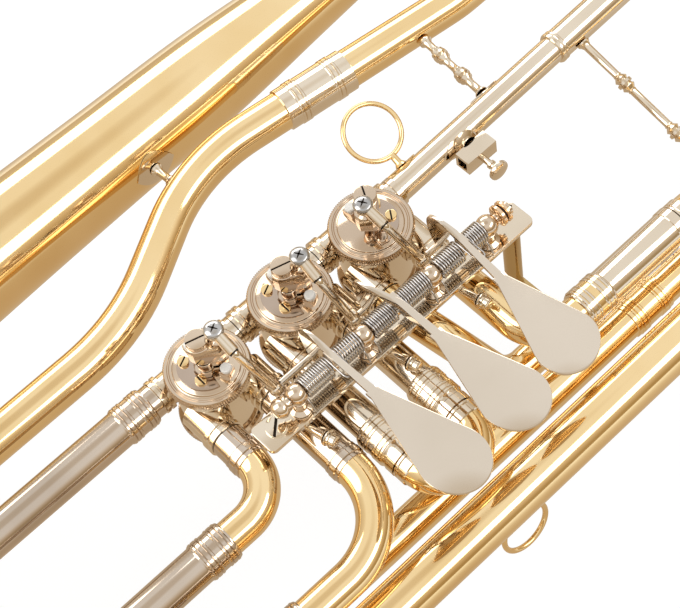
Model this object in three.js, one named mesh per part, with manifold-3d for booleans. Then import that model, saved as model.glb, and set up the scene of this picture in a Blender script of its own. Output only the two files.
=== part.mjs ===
// Rotary valve bass trumpet in nine-foot B flat, lying flat with the rotor axes upright.
// +X points to the player's end, +Y to the bell side, -Y to the finger paddles, +Z up along the rotors.

import * as THREE from "three";
import { mergeVertices } from "three/addons/utils/BufferGeometryUtils.js";
import Module from "manifold-3d";

const wasm = await Module();
wasm.setup();

// Sizes that set the layout, in millimetres
const valvePitch = 41;
const mainLineY = 12;
const portX = 12.5;
const mainPortX = 20;
const portEndY = -20;
const touchGap = 0.3;

// Tube radii, growing along the air's way
const leadR = 5.7;
const valveTubeR = 6.7;
const sleeveR = 7.3;
const sleeveBoreR = 6.5;
const innerLegR = 6.1;
const tailR = 6.75;
const middleR = 8.2;
const lastR = 9.8;
const bellBowR = 12.6;

// Where the long branches run
const sZ = -2;
const sLeftY = 43.7;
const sBendX = -48.6;
const sBendR = 90;
const sTopX = 17;
const sTopR = 80;
const sTopY = 81.4;
const sRightY = 62.8;
const tailY = -83.8;
const tailZ = -20;
const lastY = -104;
const lastZ = -17;
const bellY = 115.4;
const bellZ = -8;
const mainBowX = -162;
const mainBowDeep = 12;
const mainSleeveEnd = mainBowX + mainBowDeep;
const mainLegLong = 42;
const tailSleeveRoot = 4;
const tailSleeveX = mainSleeveEnd + mainLegLong + tailSleeveRoot;
const leftBowX = mainBowX - 26;
const sEndX = 146;
const sEndR = 60;
const innerBowX = 158;
const rightBowX = innerBowX + 2;
const leadRise = 0.0524;

// Valve casings and caps
const casingR = 14.4;
const casingTop = 11.7;
const casingBottom = -13.7;
const capR = 16.5;
const capBase = 12;
const capRim = 15.6;
const plateTop = capRim + 0.7;
const bottomCapTop = -14;
const bottomCapEnd = -20.5;

// Rotor spindle, stop arm and linkage
const spindleR = 3.1;
const spindleTop = 24;
const hubR = 4.4;
const hubTop = 33;
const screwHeadR = 4.2;
const screwTop = hubTop + 3;
const armR = 7;
const armHalfWide = 3.9;
const armEnd = 1.6;
const neckR = 2.6;
const neckTop = screwTop - 0.1;
const bumperR = 2.9;
const bumperReach = 9;
const bumperTop = plateTop + 4.9;
const eyeR = 3.4;
const eyeBase = neckTop + touchGap;
const eyeTop = eyeBase + 5.2;
const rodTopZ = eyeTop - 2;
const rodFootY = -24;
const rodR = 1.6;
const rodSleeveR = 2.3;
const rodSleeveLong = 12.5;
const footEyeR = 2.6;

// Lever bank
const plateLeft = -47;
const plateRight = 85;
const plateNearY = -29;
const plateFarY = -42;
const plateBase = valveTubeR + 3.3;
const plateFace = plateBase + 2.5;
const axleY = -36;
const axleRise = 10.5;
const axleZ = plateFace + axleRise;
const axleR = 1.9;
const hubBoreR = axleR + 0.35;
const leverHubR = 3.3;
const leverWidth = 4.6;
const bladeWide = 2.4;
const leverThick = 1.7;
const rodFootDrop = 11;
const rodFootZ = axleZ - rodFootDrop;
const postBallR = 4.3;
const postFootR = 3.3;
const postStemLong = 7.6;
const curlToeOut = 0.6;
const curlToeDrop = 1.6;
const curlInstepOut = 2.6;
const curlInstepRise = 2;
const curlShinOut = 4.1;
const curlShinDrop = 4.5;
const curlKneeOut = 4.6;
const curlKneeRise = 1;
const curlTopOut = 2.8;
const curlTopRise = 5.4;
const strapBackLong = 9.5;
const strapBackRise = 7.2;
const strapHalf = 3;
const strapRise = 6.4;
const strapFrontLong = 4;
const strapFrontRise = 6.1;
const paddleStartY = -60;
const paddleRootRise = 7.4;
const paddleZ = axleZ + paddleRootRise;
const paddleCentreY = -94.5;
const paddleR = 12.4;
const paddleRootHalf = 2.6;
const paddleRise = 3.4;
const paddleLean = [0.115, 0.015, 0];
const paddleShift = [0, -2.2, -3.7];

// Return springs
const coilR = 4.2;
const wireR = 0.36;
const coilPitch = 1.65;
const curlSteps = 8;
const wireSides = 5;

// Materials
const metal = (name, color, roughness) =>
  new THREE.MeshStandardMaterial({ name, color, roughness, metalness: 1 });
const brass = metal("brass", 0xe7bd5e, 0.16);
const nickel = metal("nickel_silver", 0xd9cdb8, 0.2);
const steel = metal("steel", 0xb9b9bd, 0.25);

const horn = new THREE.Group();
const vec = (x, y, z) => new THREE.Vector3(x, y, z);
const X = vec(1, 0, 0);
const Z = vec(0, 0, 1);

function place(name, geometry, material) {
  const mesh = new THREE.Mesh(geometry, material);
  mesh.name = name;
  horn.add(mesh);
  return mesh;
}

// Joining and cutting of closed solids
function toSolid(geometry) {
  const bare = geometry.clone();
  bare.deleteAttribute("normal");
  bare.deleteAttribute("uv");
  const merged = mergeVertices(bare, 1e-4);
  return new wasm.Manifold(new wasm.Mesh({
    numProp: 3,
    vertProperties: Float32Array.from(merged.attributes.position.array),
    triVerts: Uint32Array.from(merged.index.array),
  }));
}

function toGeometry(solid) {
  const mesh = solid.getMesh();
  const geometry = new THREE.BufferGeometry();
  geometry.setAttribute("position", new THREE.BufferAttribute(mesh.vertProperties, 3));
  geometry.setIndex(new THREE.BufferAttribute(mesh.triVerts, 1));
  geometry.computeVertexNormals();
  return geometry;
}

function join(first, ...rest) {
  return toGeometry(rest.reduce((body, piece) => body.add(toSolid(piece)), toSolid(first)));
}

function cut(body, ...tools) {
  return toGeometry(tools.reduce((left, tool) => left.subtract(toSolid(tool)), toSolid(body)));
}

// A route of straight runs and round bends through corner points [x, y, z, bend radius]
function route(corners, stepAngle = 0.27) {
  const points = corners.map(([x, y, z]) => vec(x, y, z));
  const stations = [];
  const add = (point, tangent) => {
    const last = stations[stations.length - 1];
    if (!last || last.point.distanceTo(point) > 0.05) stations.push({ point, tangent });
  };
  const heading = (i) => points[i + 1].clone().sub(points[i]).normalize();
  add(points[0], heading(0));
  for (let i = 1; i < points.length - 1; i++) {
    const before = heading(i - 1);
    const after = heading(i);
    const turn = before.angleTo(after);
    const radius = corners[i][3];
    const axis = before.clone().cross(after).normalize();
    const inward = axis.clone().cross(before);
    const start = points[i].clone().addScaledVector(before, -radius * Math.tan(turn / 2));
    const centre = start.clone().addScaledVector(inward, radius);
    const count = Math.max(2, Math.ceil(turn / stepAngle));
    for (let k = 0; k <= count; k++) {
      const angle = (turn * k) / count;
      const arm = inward.clone().multiplyScalar(-radius).applyAxisAngle(axis, angle);
      add(centre.clone().add(arm), before.clone().applyAxisAngle(axis, angle));
    }
  }
  add(points[points.length - 1], heading(points.length - 2));
  return stations;
}

class StationCurve extends THREE.Curve {
  constructor(stations) {
    super();
    this.stations = stations;
  }
  at(u) {
    return this.stations[Math.round(u * (this.stations.length - 1))];
  }
  getPoint(u, target = vec(0, 0, 0)) {
    return target.copy(this.at(u).point);
  }
  getPointAt(u, target) {
    return this.getPoint(u, target);
  }
  getTangent(u, target = vec(0, 0, 0)) {
    return target.copy(this.at(u).tangent);
  }
  getTangentAt(u, target) {
    return this.getTangent(u, target);
  }
  getSpacedPoints() {
    return this.stations.map((station) => station.point.clone());
  }
}

function ringShape(radius, sides) {
  const points = [];
  for (let i = 0; i < sides; i++) {
    const angle = (2 * Math.PI * i) / sides;
    points.push(new THREE.Vector2(radius * Math.cos(angle), radius * Math.sin(angle)));
  }
  return new THREE.Shape(points);
}

function sweep(shape, stations) {
  return new THREE.ExtrudeGeometry(shape, {
    steps: stations.length - 1,
    extrudePath: new StationCurve(stations),
  });
}

const tube = (corners, radius, sides = 16, stepAngle) =>
  sweep(ringShape(radius, sides), route(corners, stepAngle));

// A round bar between two points
const bar = (from, to, radius, sides = 12) => tube([from, to], radius, sides);

// A revolved profile [radius, height] standing on a point and turned to face along an axis
function turned(profile, at = [0, 0, 0], axis = Z, sides = 24) {
  const geometry = new THREE.LatheGeometry(profile.map(([r, h]) => new THREE.Vector2(r, h)), sides);
  geometry.applyQuaternion(new THREE.Quaternion().setFromUnitVectors(vec(0, 1, 0), axis));
  return geometry.translate(at[0], at[1], at[2]);
}

function ball(at, radius, sides = 12) {
  return new THREE.SphereGeometry(radius, sides, Math.round(sides * 0.6)).translate(at[0], at[1], at[2]);
}

function block(from, to) {
  const size = to.map((value, i) => value - from[i]);
  const geometry = new THREE.BoxGeometry(size[0], size[1], size[2]);
  return geometry.translate(from[0] + size[0] / 2, from[1] + size[1] / 2, from[2] + size[2] / 2);
}

// Bell: one revolved sheet, open at the rim, running on from the bell bow
const bellStations = [
  [rightBowX - touchGap, bellBowR], [104, 16.4], [54, 19.9], [0, 21.3], [-57, 23.1], [-120, 26],
  [-180, 30], [-230, 35.5], [-264, 41.5], [-290, 49], [-308, 58], [-320, 68], [-327, 77], [-330, 84],
];
const bellWall = 1.4;
const bellInside = [];
const bellOutside = bellStations.map(([x, r]) => [r, -x]);
bellStations.forEach(([x, r], k) => {
  if (k % 4 === 0 || k > 5) bellInside.unshift([r - bellWall, -x + (r > 70 ? 0.6 : 0)]);
});
place("bell", turned([...bellOutside, ...bellInside, bellOutside[0]], [0, bellY, bellZ], vec(-1, 0, 0), 24), brass);

// A half-turn bow between two parallel branches that both run along X
function bowRoute(x, [y0, z0], [y1, z1], way) {
  const r = Math.hypot(y1 - y0, z1 - z0) / 2;
  return [
    [x, y0, z0],
    [x + way * r, y0, z0, r],
    [x + way * r, y1, z1, r],
    [x, y1, z1],
  ];
}

// Big bows and long branches
place("bell_bow", tube(bowRoute(rightBowX, [bellY, bellZ], [lastY, lastZ], 1), bellBowR - 1.2, 16), brass);
place("last_branch", bar([rightBowX - touchGap, lastY, lastZ], [leftBowX + touchGap, lastY, lastZ], lastR, 18), brass);
place("left_bow", tube(bowRoute(leftBowX, [sLeftY, sZ], [lastY, lastZ], -1), middleR, 16), brass);

const sFerruleStart = 60;
const sFerruleEnd = 92;
const sSlope = (sRightY - sTopY) / (sEndX - sTopX);
const onSlope = (x) => [x, sTopY + sSlope * (x - sTopX), sZ];
place("s_branch", tube([
  [leftBowX + touchGap, sLeftY, sZ],
  [sBendX, sLeftY, sZ, sBendR],
  [sTopX, sTopY, sZ, sTopR],
  onSlope(sFerruleStart - touchGap),
], middleR, 14, 0.15), brass);

// The nickel ferrule on the S branch, with a turned collar near each end
const ferruleR = middleR + 0.9;
const collar = (at, r, half = 1.6) => [[r, at - half], [r + 0.4, at - half + 0.5], [r + 0.4, at + half - 0.5], [r, at + half]];
const slopeLong = (sFerruleEnd - sFerruleStart) * Math.hypot(1, sSlope);
const slopeAxis = vec(1, sSlope, 0).normalize();
place("s_ferrule", turned([
  [0, 0], [ferruleR - 0.4, 0], [ferruleR, 0.5], ...collar(8, ferruleR), ...collar(slopeLong - 8, ferruleR),
  [ferruleR, slopeLong - 0.5], [ferruleR - 0.4, slopeLong], [0, slopeLong],
], onSlope(sFerruleStart), slopeAxis, 14), nickel);

const innerSpan = bowRoute(innerBowX, [sRightY, sZ], [tailY, tailZ], 1);
place("inner_bow", tube([
  onSlope(sFerruleEnd + touchGap),
  [sEndX, sRightY, sZ, sEndR],
  innerSpan[1],
  innerSpan[2],
  [innerBowX + touchGap, tailY, tailZ],
], middleR, 12), brass);

const tailCuffX = 89;
const tailCuffLong = 19;
const tailCuffThick = 0.5;
place("tail_branch", join(
  bar([innerBowX, tailY, tailZ], [tailSleeveX, tailY, tailZ], tailR, 14),
  bar([tailCuffX + tailCuffLong, tailY, tailZ], [tailCuffX, tailY, tailZ], tailR + tailCuffThick, 14),
), brass);

// Slide sleeves: nickel tubes, open at the far end, with a beaded ferrule where they meet the brass
const ferruleLip = 0.8;
function sleeve(from, axis, long, bore, sides = 12) {
  const r = sleeveR;
  return turned([
    [0, 0], [r + ferruleLip / 2, 0], [r + ferruleLip, 1.2], [r + ferruleLip, 4], [r, 5.6], [r, long], [sleeveBoreR, long], [sleeveBoreR, long - bore], [0, long - bore],
  ], from, axis, sides);
}

// A slide: two inner legs and the bow that joins them
function slideBow(first, second, way, sleeveEnd, legLong, bowStart) {
  const axisSpan = Math.hypot(...first.map((value, i) => second[i] - value)) / 2;
  const along = (p, s) => p.map((value, i) => value + way[i] * s);
  return join(
    tube([
      along(first, sleeveEnd + touchGap),
      along(first, bowStart + axisSpan).concat(axisSpan),
      along(second, bowStart + axisSpan).concat(axisSpan),
      along(second, sleeveEnd + touchGap),
    ], sleeveR, 12, 0.36),
    bar(along(first, sleeveEnd - legLong), along(first, sleeveEnd + 2), innerLegR, 8),
    bar(along(second, sleeveEnd - legLong), along(second, sleeveEnd + 2), innerLegR, 8),
  );
}

// Main tuning slide, between the third valve and the tail branch
const row = [valvePitch, 0, -valvePitch];
const mainSleeveInset = 3;
const mainSleeveStart = -valvePitch - mainPortX - mainSleeveInset;
place("main_sleeve", join(
  bar([-valvePitch - mainPortX, mainLineY, 0], [mainSleeveStart - 1, mainLineY, 0], valveTubeR, 12, 0.32),
  sleeve([mainSleeveStart, mainLineY, 0], vec(-1, 0, 0), mainSleeveStart - mainSleeveEnd, mainLegLong + 6),
), nickel);
place("tail_sleeve", sleeve([tailSleeveX - touchGap, tailY, tailZ], vec(-1, 0, 0),
  tailSleeveX - touchGap - mainSleeveEnd, mainLegLong + 2), nickel);
place("main_slide", slideBow([0, mainLineY, 0], [0, tailY, tailZ], [-1, 0, 0], -mainSleeveEnd, mainLegLong, -mainBowX), brass);

// Third slide: two legs that leave the valve to the paddle side and turn to run left
const thirdNearY = -49.5;
const thirdFarY = -91;
const thirdSleeveStart = -78;
const thirdSleeveEnd = -138;
const thirdLegLong = 44;
const thirdBore = thirdLegLong + 8;
const slideRise = 4;
const valve3X = -valvePitch;
place("third_near_leg", join(
  tube([
    [valve3X - portX + 1.5, portEndY - touchGap, 0], [valve3X - portX + 1.5, thirdNearY, 0, 17],
    [thirdSleeveStart - 1, thirdNearY, 0],
  ], valveTubeR, 12, 0.32),
  sleeve([thirdSleeveStart, thirdNearY, 0], vec(-1, 0, 0), thirdSleeveStart - thirdSleeveEnd, thirdBore),
), nickel);
place("third_far_leg", join(
  tube([
    [valve3X + portX, portEndY - touchGap, 0], [valve3X + portX, thirdFarY, 0, 30],
    [thirdSleeveStart - 1, thirdFarY, 0],
  ], valveTubeR + 0.2, 12, 0.4),
  sleeve([thirdSleeveStart, thirdFarY, 0], vec(-1, 0, 0), thirdSleeveStart - thirdSleeveEnd, thirdBore),
), brass);
place("third_slide", slideBow([0, thirdNearY, 0], [0, thirdFarY, 0], [-1, 0, 0],
  -thirdSleeveEnd, thirdLegLong, -thirdSleeveEnd + slideRise + 2), brass);

// Second slide: a short slide straight out to the paddle side
const secondSleeveStart = -55;
const secondSleeveEnd = -73;
const secondLegLong = 12;
for (const [side, name] of [[-1, "second_left_leg"], [1, "second_right_leg"]]) {
  place(name, join(
    bar([side * portX, portEndY - touchGap, 0], [side * portX, secondSleeveStart - 1, 0], valveTubeR, 12, 0.32),
    sleeve([side * portX, secondSleeveStart, 0], vec(0, -1, 0), secondSleeveStart - secondSleeveEnd, secondLegLong + 2),
  ), nickel);
}
place("second_slide", slideBow([-portX, 0, 0], [portX, 0, 0], [0, -1, 0],
  -secondSleeveEnd, secondLegLong, -secondSleeveEnd + slideRise), brass);

// First slide: two legs one above the other, running right
const firstUpperY = -75.6;
const firstLowerY = -67;
const firstLowerZ = -24;
const firstSleeveStart = 73;
const firstSleeveEnd = 124;
const firstLegLong = 32;
const firstBore = firstLegLong + 8;
place("first_upper_leg", join(
  tube([
    [valvePitch + portX, portEndY - touchGap, 0], [valvePitch + portX, firstUpperY, 0, 15],
    [firstSleeveStart + 1, firstUpperY, 0],
  ], valveTubeR, 12, 0.32),
  sleeve([firstSleeveStart, firstUpperY, 0], X, firstSleeveEnd - firstSleeveStart, firstBore),
), nickel);
const lowerLegBendY = -27;
const lowerLegBendR = 20;
const lowerLegDropY = -50;
const lowerLegDropR = 16;
const lowerLegShift = 3;
const lowerLegTurnX = 2;
const lowerLegTurnR = 13;
place("first_lower_leg", join(
  tube([
    [valvePitch - portX, portEndY - touchGap, 0], [valvePitch - portX, lowerLegBendY, 0, lowerLegBendR],
    [valvePitch - portX + lowerLegShift, lowerLegDropY, 0, lowerLegDropR],
    [valvePitch + lowerLegTurnX, firstLowerY, firstLowerZ, lowerLegTurnR], [firstSleeveStart + 1, firstLowerY, firstLowerZ],
  ], valveTubeR, 12, 0.42),
  sleeve([firstSleeveStart, firstLowerY, firstLowerZ], X, firstSleeveEnd - firstSleeveStart, firstBore),
), brass);
place("first_slide", slideBow([0, firstUpperY, 0], [0, firstLowerY, firstLowerZ], [1, 0, 0],
  firstSleeveEnd, firstLegLong, firstSleeveEnd + slideRise - 1), brass);

// Leadpipe and mouthpiece receiver, rising slightly so that they pass over the bows
const leadStart = valvePitch + mainPortX + touchGap;
const leadSleeveX = 150;
const receiverEnd = 285;
const receiverBoreR = 5.6;
const onLead = (x) => [x, mainLineY, leadRise * (x - leadStart)];
const leadAxis = vec(1, 0, leadRise).normalize();
const receiverLong = (receiverEnd - leadSleeveX) * Math.hypot(1, leadRise);
place("leadpipe", join(
  bar(onLead(leadStart + 0.4), onLead(leadSleeveX), leadR, 12),
  bar(onLead(leadStart + 0.4), onLead(leadStart + 3), leadR + 0.7, 12),
), nickel);
place("receiver", turned([
  [0, 0], [leadR + 1.2, 0], [leadR + 1.2, 2.4], [leadR + 0.7, 3], [leadR + 0.7, receiverLong - 45],
  [leadR + 2, receiverLong - 24], [leadR + 2, receiverLong - 6], [leadR + 3, receiverLong - 4.5],
  [leadR + 3, receiverLong], [receiverBoreR, receiverLong], [receiverBoreR, receiverLong - 24], [0, receiverLong - 24],
], onLead(leadSleeveX + touchGap), leadAxis, 14), nickel);

// Valve casings with their ports, and the links that join them along the main line
row.forEach((x, i) => {
  const stub = (dx) => bar([x + dx, -3, 0], [x + dx, portEndY, 0], valveTubeR + 0.5, 12);
  const leftEnd = i === 2 ? x - mainPortX + touchGap : x - valvePitch / 2 + touchGap / 2;
  const rightEnd = i === 0 ? x + mainPortX : x + valvePitch / 2 - touchGap / 2;
  place(`valve_casing_${i + 1}`, join(
    turned([
      [0, casingBottom], [casingR, casingBottom], [casingR, casingTop], [0, casingTop],
    ], [x, 0, 0], Z, 20),
    stub(i === 2 ? -portX + 1.5 : -portX),
    stub(portX),
    bar([leftEnd, mainLineY, 0], [rightEnd, mainLineY, 0], valveTubeR - 0.4, 12),
  ), nickel);
});

// Screwed caps: the upper one carries the bearing plate and the two posts of the stop bumpers
const radians = (degrees) => (degrees * Math.PI) / 180;
const armAngle = [225, -35, -35].map(radians);
const turnSide = [-1, 1, 1];
const bumperSwing = Math.asin((bumperR + 2) / bumperReach);
row.forEach((x, i) => {
  const upper = turned([
    [0, capBase], [capR, capBase], [capR, capRim - 0.6], [capR - 0.7, capRim], [capR - 3.6, capRim],
    [capR - 4, plateTop], [0, plateTop],
  ], [x, 0, 0], Z, 20);
  const restAngle = armAngle[i] - turnSide[i] * bumperSwing;
  const playAngle = armAngle[i] + turnSide[i] * (Math.PI / 2 + bumperSwing);
  const [rest, play] = [restAngle, playAngle].map((angle) => turned([
    [0, plateTop - 0.5], [bumperR, plateTop - 0.5], [bumperR, bumperTop], [0, bumperTop],
  ], [x + bumperReach * Math.cos(angle), bumperReach * Math.sin(angle), 0], Z, 8));
  place(`upper_cap_${i + 1}`, join(upper, rest, play), nickel);
  place(`bottom_cap_${i + 1}`, turned([
    [0, bottomCapEnd], [7.5, bottomCapEnd], [7.5, bottomCapEnd + 2.6], [capR - 1, bottomCapEnd + 3.4],
    [capR, bottomCapEnd + 4.2], [capR, bottomCapTop], [0, bottomCapTop],
  ], [x, 0, 0], Z, 16), nickel);
});

// Rotor spindles with the clamped stop arm; the first valve's arm points the other way
const armTip = (i) => [row[i] + armR * Math.cos(armAngle[i]), armR * Math.sin(armAngle[i])];
row.forEach((x, i) => {
  const [tipX, tipY] = armTip(i);
  const spindle = turned([
    [0, plateTop + touchGap], [spindleR, plateTop + touchGap], [spindleR, spindleTop], [hubR, spindleTop],
    [hubR, hubTop], [screwHeadR, hubTop + 0.2], [screwHeadR, screwTop - 0.6], [screwHeadR - 0.6, screwTop],
    [0, screwTop],
  ], [x, 0, 0], Z, 12);
  const slot = block([-5, -0.5, screwTop - 1.2], [5, 0.5, screwTop + 1])
    .rotateZ(0.3 + armAngle[i]).translate(x, 0, 0);
  const arm = block([-hubR, -armHalfWide, spindleTop], [armR + armEnd, armHalfWide, hubTop - 0.2])
    .rotateZ(armAngle[i]).translate(x, 0, 0);
  const neck = turned([
    [0, hubTop - 2], [neckR, hubTop - 2], [neckR, hubTop + 0.8], [neckR / 2, hubTop + 1.2],
    [neckR / 2, neckTop], [0, neckTop],
  ], [tipX, tipY, 0], Z, 10);
  const wing = block([0, -1.6, plateTop + 0.9], [bumperReach, 1.6, bumperTop - 0.7])
    .rotateZ(armAngle[i]).translate(x, 0, 0);
  place(`rotor_${i + 1}`, cut(join(spindle, arm, neck, wing), slot), nickel);
});

// Connecting rods: an upper eye with its cross-head screw, a thick sleeve, a thin rod and a lower eye
const leverX = [54.2, 20.6, -10.6];
const hookShift = [-0.8, -4.6, 0];
const rodFootX = [44.3, 9.6, -29];
const rodCrank = vec(-2.2, -3, 6);
row.forEach((x, i) => {
  const [tipX, tipY] = armTip(i);
  const top = vec(tipX, tipY, rodTopZ);
  const foot = vec(rodFootX[i], rodFootY, rodFootZ);
  const bend = top.clone().lerp(foot, rodSleeveLong / top.distanceTo(foot)).add(rodCrank);
  const at = (s) => top.clone().lerp(bend, s / top.distanceTo(bend)).toArray();
  const eye = turned([
    [0, eyeBase], [2.4, eyeBase], [eyeR, eyeBase + 1.6], [eyeR, eyeTop - 1.6],
    [2.4, eyeTop], [0, eyeTop],
  ], [tipX, tipY, 0], Z, 8);
  place(`rod_${i + 1}`, join(
    eye,
    tube([at(0.8), [...bend.toArray(), 3], foot.toArray()], rodR, 6),
    bar(at(eyeR + 0.6), at(rodSleeveLong - 1.5), rodSleeveR, 8),
    ball(foot.toArray(), footEyeR, 7),
  ), nickel);
});

// Levers: hub on the axle, strip with its curled hook, and the drop-shaped paddle
function stripProfile() {
  const line = new THREE.CatmullRomCurve3([
    vec(0, rodFootY + curlToeOut, rodFootZ - curlToeDrop), vec(0, rodFootY + curlInstepOut, rodFootZ + curlInstepRise),
    vec(0, rodFootY + curlShinOut, axleZ - curlShinDrop), vec(0, rodFootY + curlKneeOut, axleZ + curlKneeRise),
    vec(0, rodFootY + curlTopOut, axleZ + curlTopRise), vec(0, axleY + strapBackLong, axleZ + strapBackRise),
    vec(0, axleY + strapHalf, axleZ + strapRise), vec(0, axleY - strapFrontLong, axleZ + strapFrontRise),
    vec(0, paddleStartY, paddleZ),
  ]);
  const points = line.getPoints(11);
  const outer = [];
  const inner = [];
  const hollowStart = axleY + 5;
  points.forEach((point, k) => {
    const before = points[Math.max(0, k - 1)];
    const after = points[Math.min(points.length - 1, k + 1)];
    const way = after.clone().sub(before).normalize();
    outer.push(new THREE.Vector2(point.y + (way.z * leverThick) / 2, point.z - (way.y * leverThick) / 2));
    if (k > 0 && point.y > hollowStart) return;
    inner.unshift(new THREE.Vector2(point.y - (way.z * leverThick) / 2, point.z + (way.y * leverThick) / 2));
  });
  return new THREE.Shape([...outer, ...inner]);
}

// Each paddle leans and reaches by its own amount
function lean(geometry, i) {
  const spots = geometry.attributes.position;
  for (let k = 0; k < spots.count; k++) {
    const y = spots.getY(k);
    const reach = Math.max(0, (paddleStartY - y) / (paddleStartY - paddleCentreY));
    spots.setX(k, spots.getX(k) + paddleLean[i] * Math.min(0, y - axleY - 3));
    spots.setY(k, y + paddleShift[i] * reach);
  }
}

function leverSolid(i) {
  const strip = new THREE.ExtrudeGeometry(stripProfile(), { depth: bladeWide, bevelEnabled: false });
  strip.translate(0, 0, -bladeWide / 2);
  strip.applyMatrix4(new THREE.Matrix4().makeBasis(vec(0, 1, 0), Z, X));
  const spots = strip.attributes.position;
  for (let k = 0; k < spots.count; k++) {
    const reach = Math.min(1, Math.max(0, (spots.getY(k) - axleY + 3) / 14));
    spots.setX(k, spots.getX(k) + hookShift[i] * reach);
  }
  const outline = new THREE.Shape();
  const taper = Math.asin((paddleR - paddleRootHalf) / (paddleStartY - paddleCentreY));
  outline.moveTo(-paddleRootHalf, paddleStartY + 3);
  outline.lineTo(-paddleRootHalf, paddleStartY);
  outline.absarc(0, paddleCentreY, paddleR, Math.PI - taper, 2 * Math.PI + taper, false);
  outline.lineTo(paddleRootHalf, paddleStartY);
  outline.lineTo(paddleRootHalf, paddleStartY + 3);
  outline.closePath();
  const paddle = new THREE.ExtrudeGeometry(outline, { depth: leverThick, bevelEnabled: false, curveSegments: 12 });
  const tilt = -Math.atan(paddleRise / (paddleStartY - paddleCentreY));
  paddle.translate(0, -paddleStartY, -leverThick / 2).rotateX(tilt);
  paddle.translate(0, paddleStartY, paddleZ);
  for (const piece of [strip, paddle]) lean(piece, i);
  const hub = bar([-leverWidth / 2, axleY, axleZ], [leverWidth / 2, axleY, axleZ], leverHubR, 12);
  const web = block([-bladeWide / 2 - 0.3, axleY - 2.4, axleZ + 1], [bladeWide / 2 + 0.3, axleY + 2.4, axleZ + 6.2]);
  const studEnd = rodFootX[i] - leverX[i] + footEyeR + touchGap;
  const stud = bar([studEnd, rodFootY + 0.9, rodFootZ - 0.2], [hookShift[i] + 1, rodFootY + 0.9, rodFootZ - 0.2], 1.5, 8);
  const bore = bar([-leverWidth, axleY, axleZ], [leverWidth, axleY, axleZ], hubBoreR, 10);
  return cut(join(strip, paddle, hub, web, stud), bore).translate(leverX[i], 0, 0);
}
row.forEach((x, i) => place(`lever_${i + 1}`, leverSolid(i), nickel));

// Axle with a domed nut at one end and a slotted collar screw at the other
const axleLeft = -36;
const axleRight = 77;
const axleCollarX = 71.6;
place("axle", join(
  bar([axleLeft + 1, axleY, axleZ], [axleRight - 2, axleY, axleZ], axleR, 12),
  turned([[0, 0], [2.6, 0.4], [3.6, 1.8], [3.9, 3.6], [3.2, 5.2], [3.2, 6.2], [0, 6.2]],
    [axleLeft - 3, axleY, axleZ], X, 10),
  turned([[0, 0], [3.4, 0], [4.4, 0.6], [4.4, 1.8], [3, 2.2], [3, 2.8], [4.2, 3.2], [4.2, 4.2], [3.6, 4.8], [0, 5.4]],
    [axleCollarX, axleY, axleZ], X, 10),
), nickel);

// Turned posts that carry the axle, screwed to the lever plate
const postX = [-28, 4.4, 38.2, 66.6];
["post_a", "post_b", "post_c", "post_d"].forEach((name, i) => {
  const post = join(
    turned([
      [0, plateFace], [postFootR + 1, plateFace], [postFootR + 1, plateFace + 1.2], [postFootR - 0.6, plateFace + 2],
      [postFootR - 0.9, plateFace + postStemLong], [0, plateFace + postStemLong],
    ], [postX[i], axleY, 0], Z, 8),
    ball([postX[i], axleY, axleZ], postBallR, 10),
  );
  const hole = bar([postX[i] - 6, axleY, axleZ], [postX[i] + 6, axleY, axleZ], axleR + touchGap, 8);
  place(name, cut(post, hole), brass);
});

// Lever plate with rounded corners and a slotted screw head at the left end
function platePiece() {
  const corner = 2.4;
  const screwInset = 7.6;
  const screwX = plateLeft + screwInset;
  const outline = new THREE.Shape();
  outline.moveTo(plateLeft + corner, plateFarY);
  outline.lineTo(plateRight - corner, plateFarY);
  outline.quadraticCurveTo(plateRight, plateFarY, plateRight, plateFarY + corner);
  outline.lineTo(plateRight, plateNearY - corner);
  outline.quadraticCurveTo(plateRight, plateNearY, plateRight - corner, plateNearY);
  outline.lineTo(plateLeft + corner, plateNearY);
  outline.quadraticCurveTo(plateLeft, plateNearY, plateLeft, plateNearY - corner);
  outline.lineTo(plateLeft, plateFarY + corner);
  outline.quadraticCurveTo(plateLeft, plateFarY, plateLeft + corner, plateFarY);
  const flat = new THREE.ExtrudeGeometry(outline, { depth: plateFace - plateBase - touchGap, bevelEnabled: false,
    curveSegments: 3 }).translate(0, 0, plateBase);
  const head = turned([[0, -0.4], [4, -0.4], [4, 0.9], [3.3, 1.5], [0, 1.8]], [screwX, axleY + 0.6, plateFace - touchGap], Z, 16);
  const slot = block([-5, -0.55, plateFace + 0.6], [5, 0.55, plateFace + 3]).rotateZ(0.75).translate(screwX, axleY + 0.6, 0);
  return cut(join(flat, head), slot);
}
place("lever_plate", platePiece(), nickel);

// Round brass pillar under the plate's right end, on a flat foot from the first slide's lower ferrule
const pillarX = 76;
const pillarR = 3.5;
const pillarY = plateFarY + pillarR + 0.5;
const pillarFootThick = 2.6;
const pillarFootZ = firstLowerZ - pillarFootThick / 2;
place("plate_pillar", join(
  bar([pillarX, pillarY, pillarFootZ], [pillarX, pillarY, plateBase - touchGap], pillarR, 14),
  block(
    [pillarX - pillarR, firstLowerY + sleeveR + ferruleLip + touchGap, pillarFootZ],
    [pillarX + pillarR, pillarY, pillarFootZ + pillarFootThick],
  ),
), brass);

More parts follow.
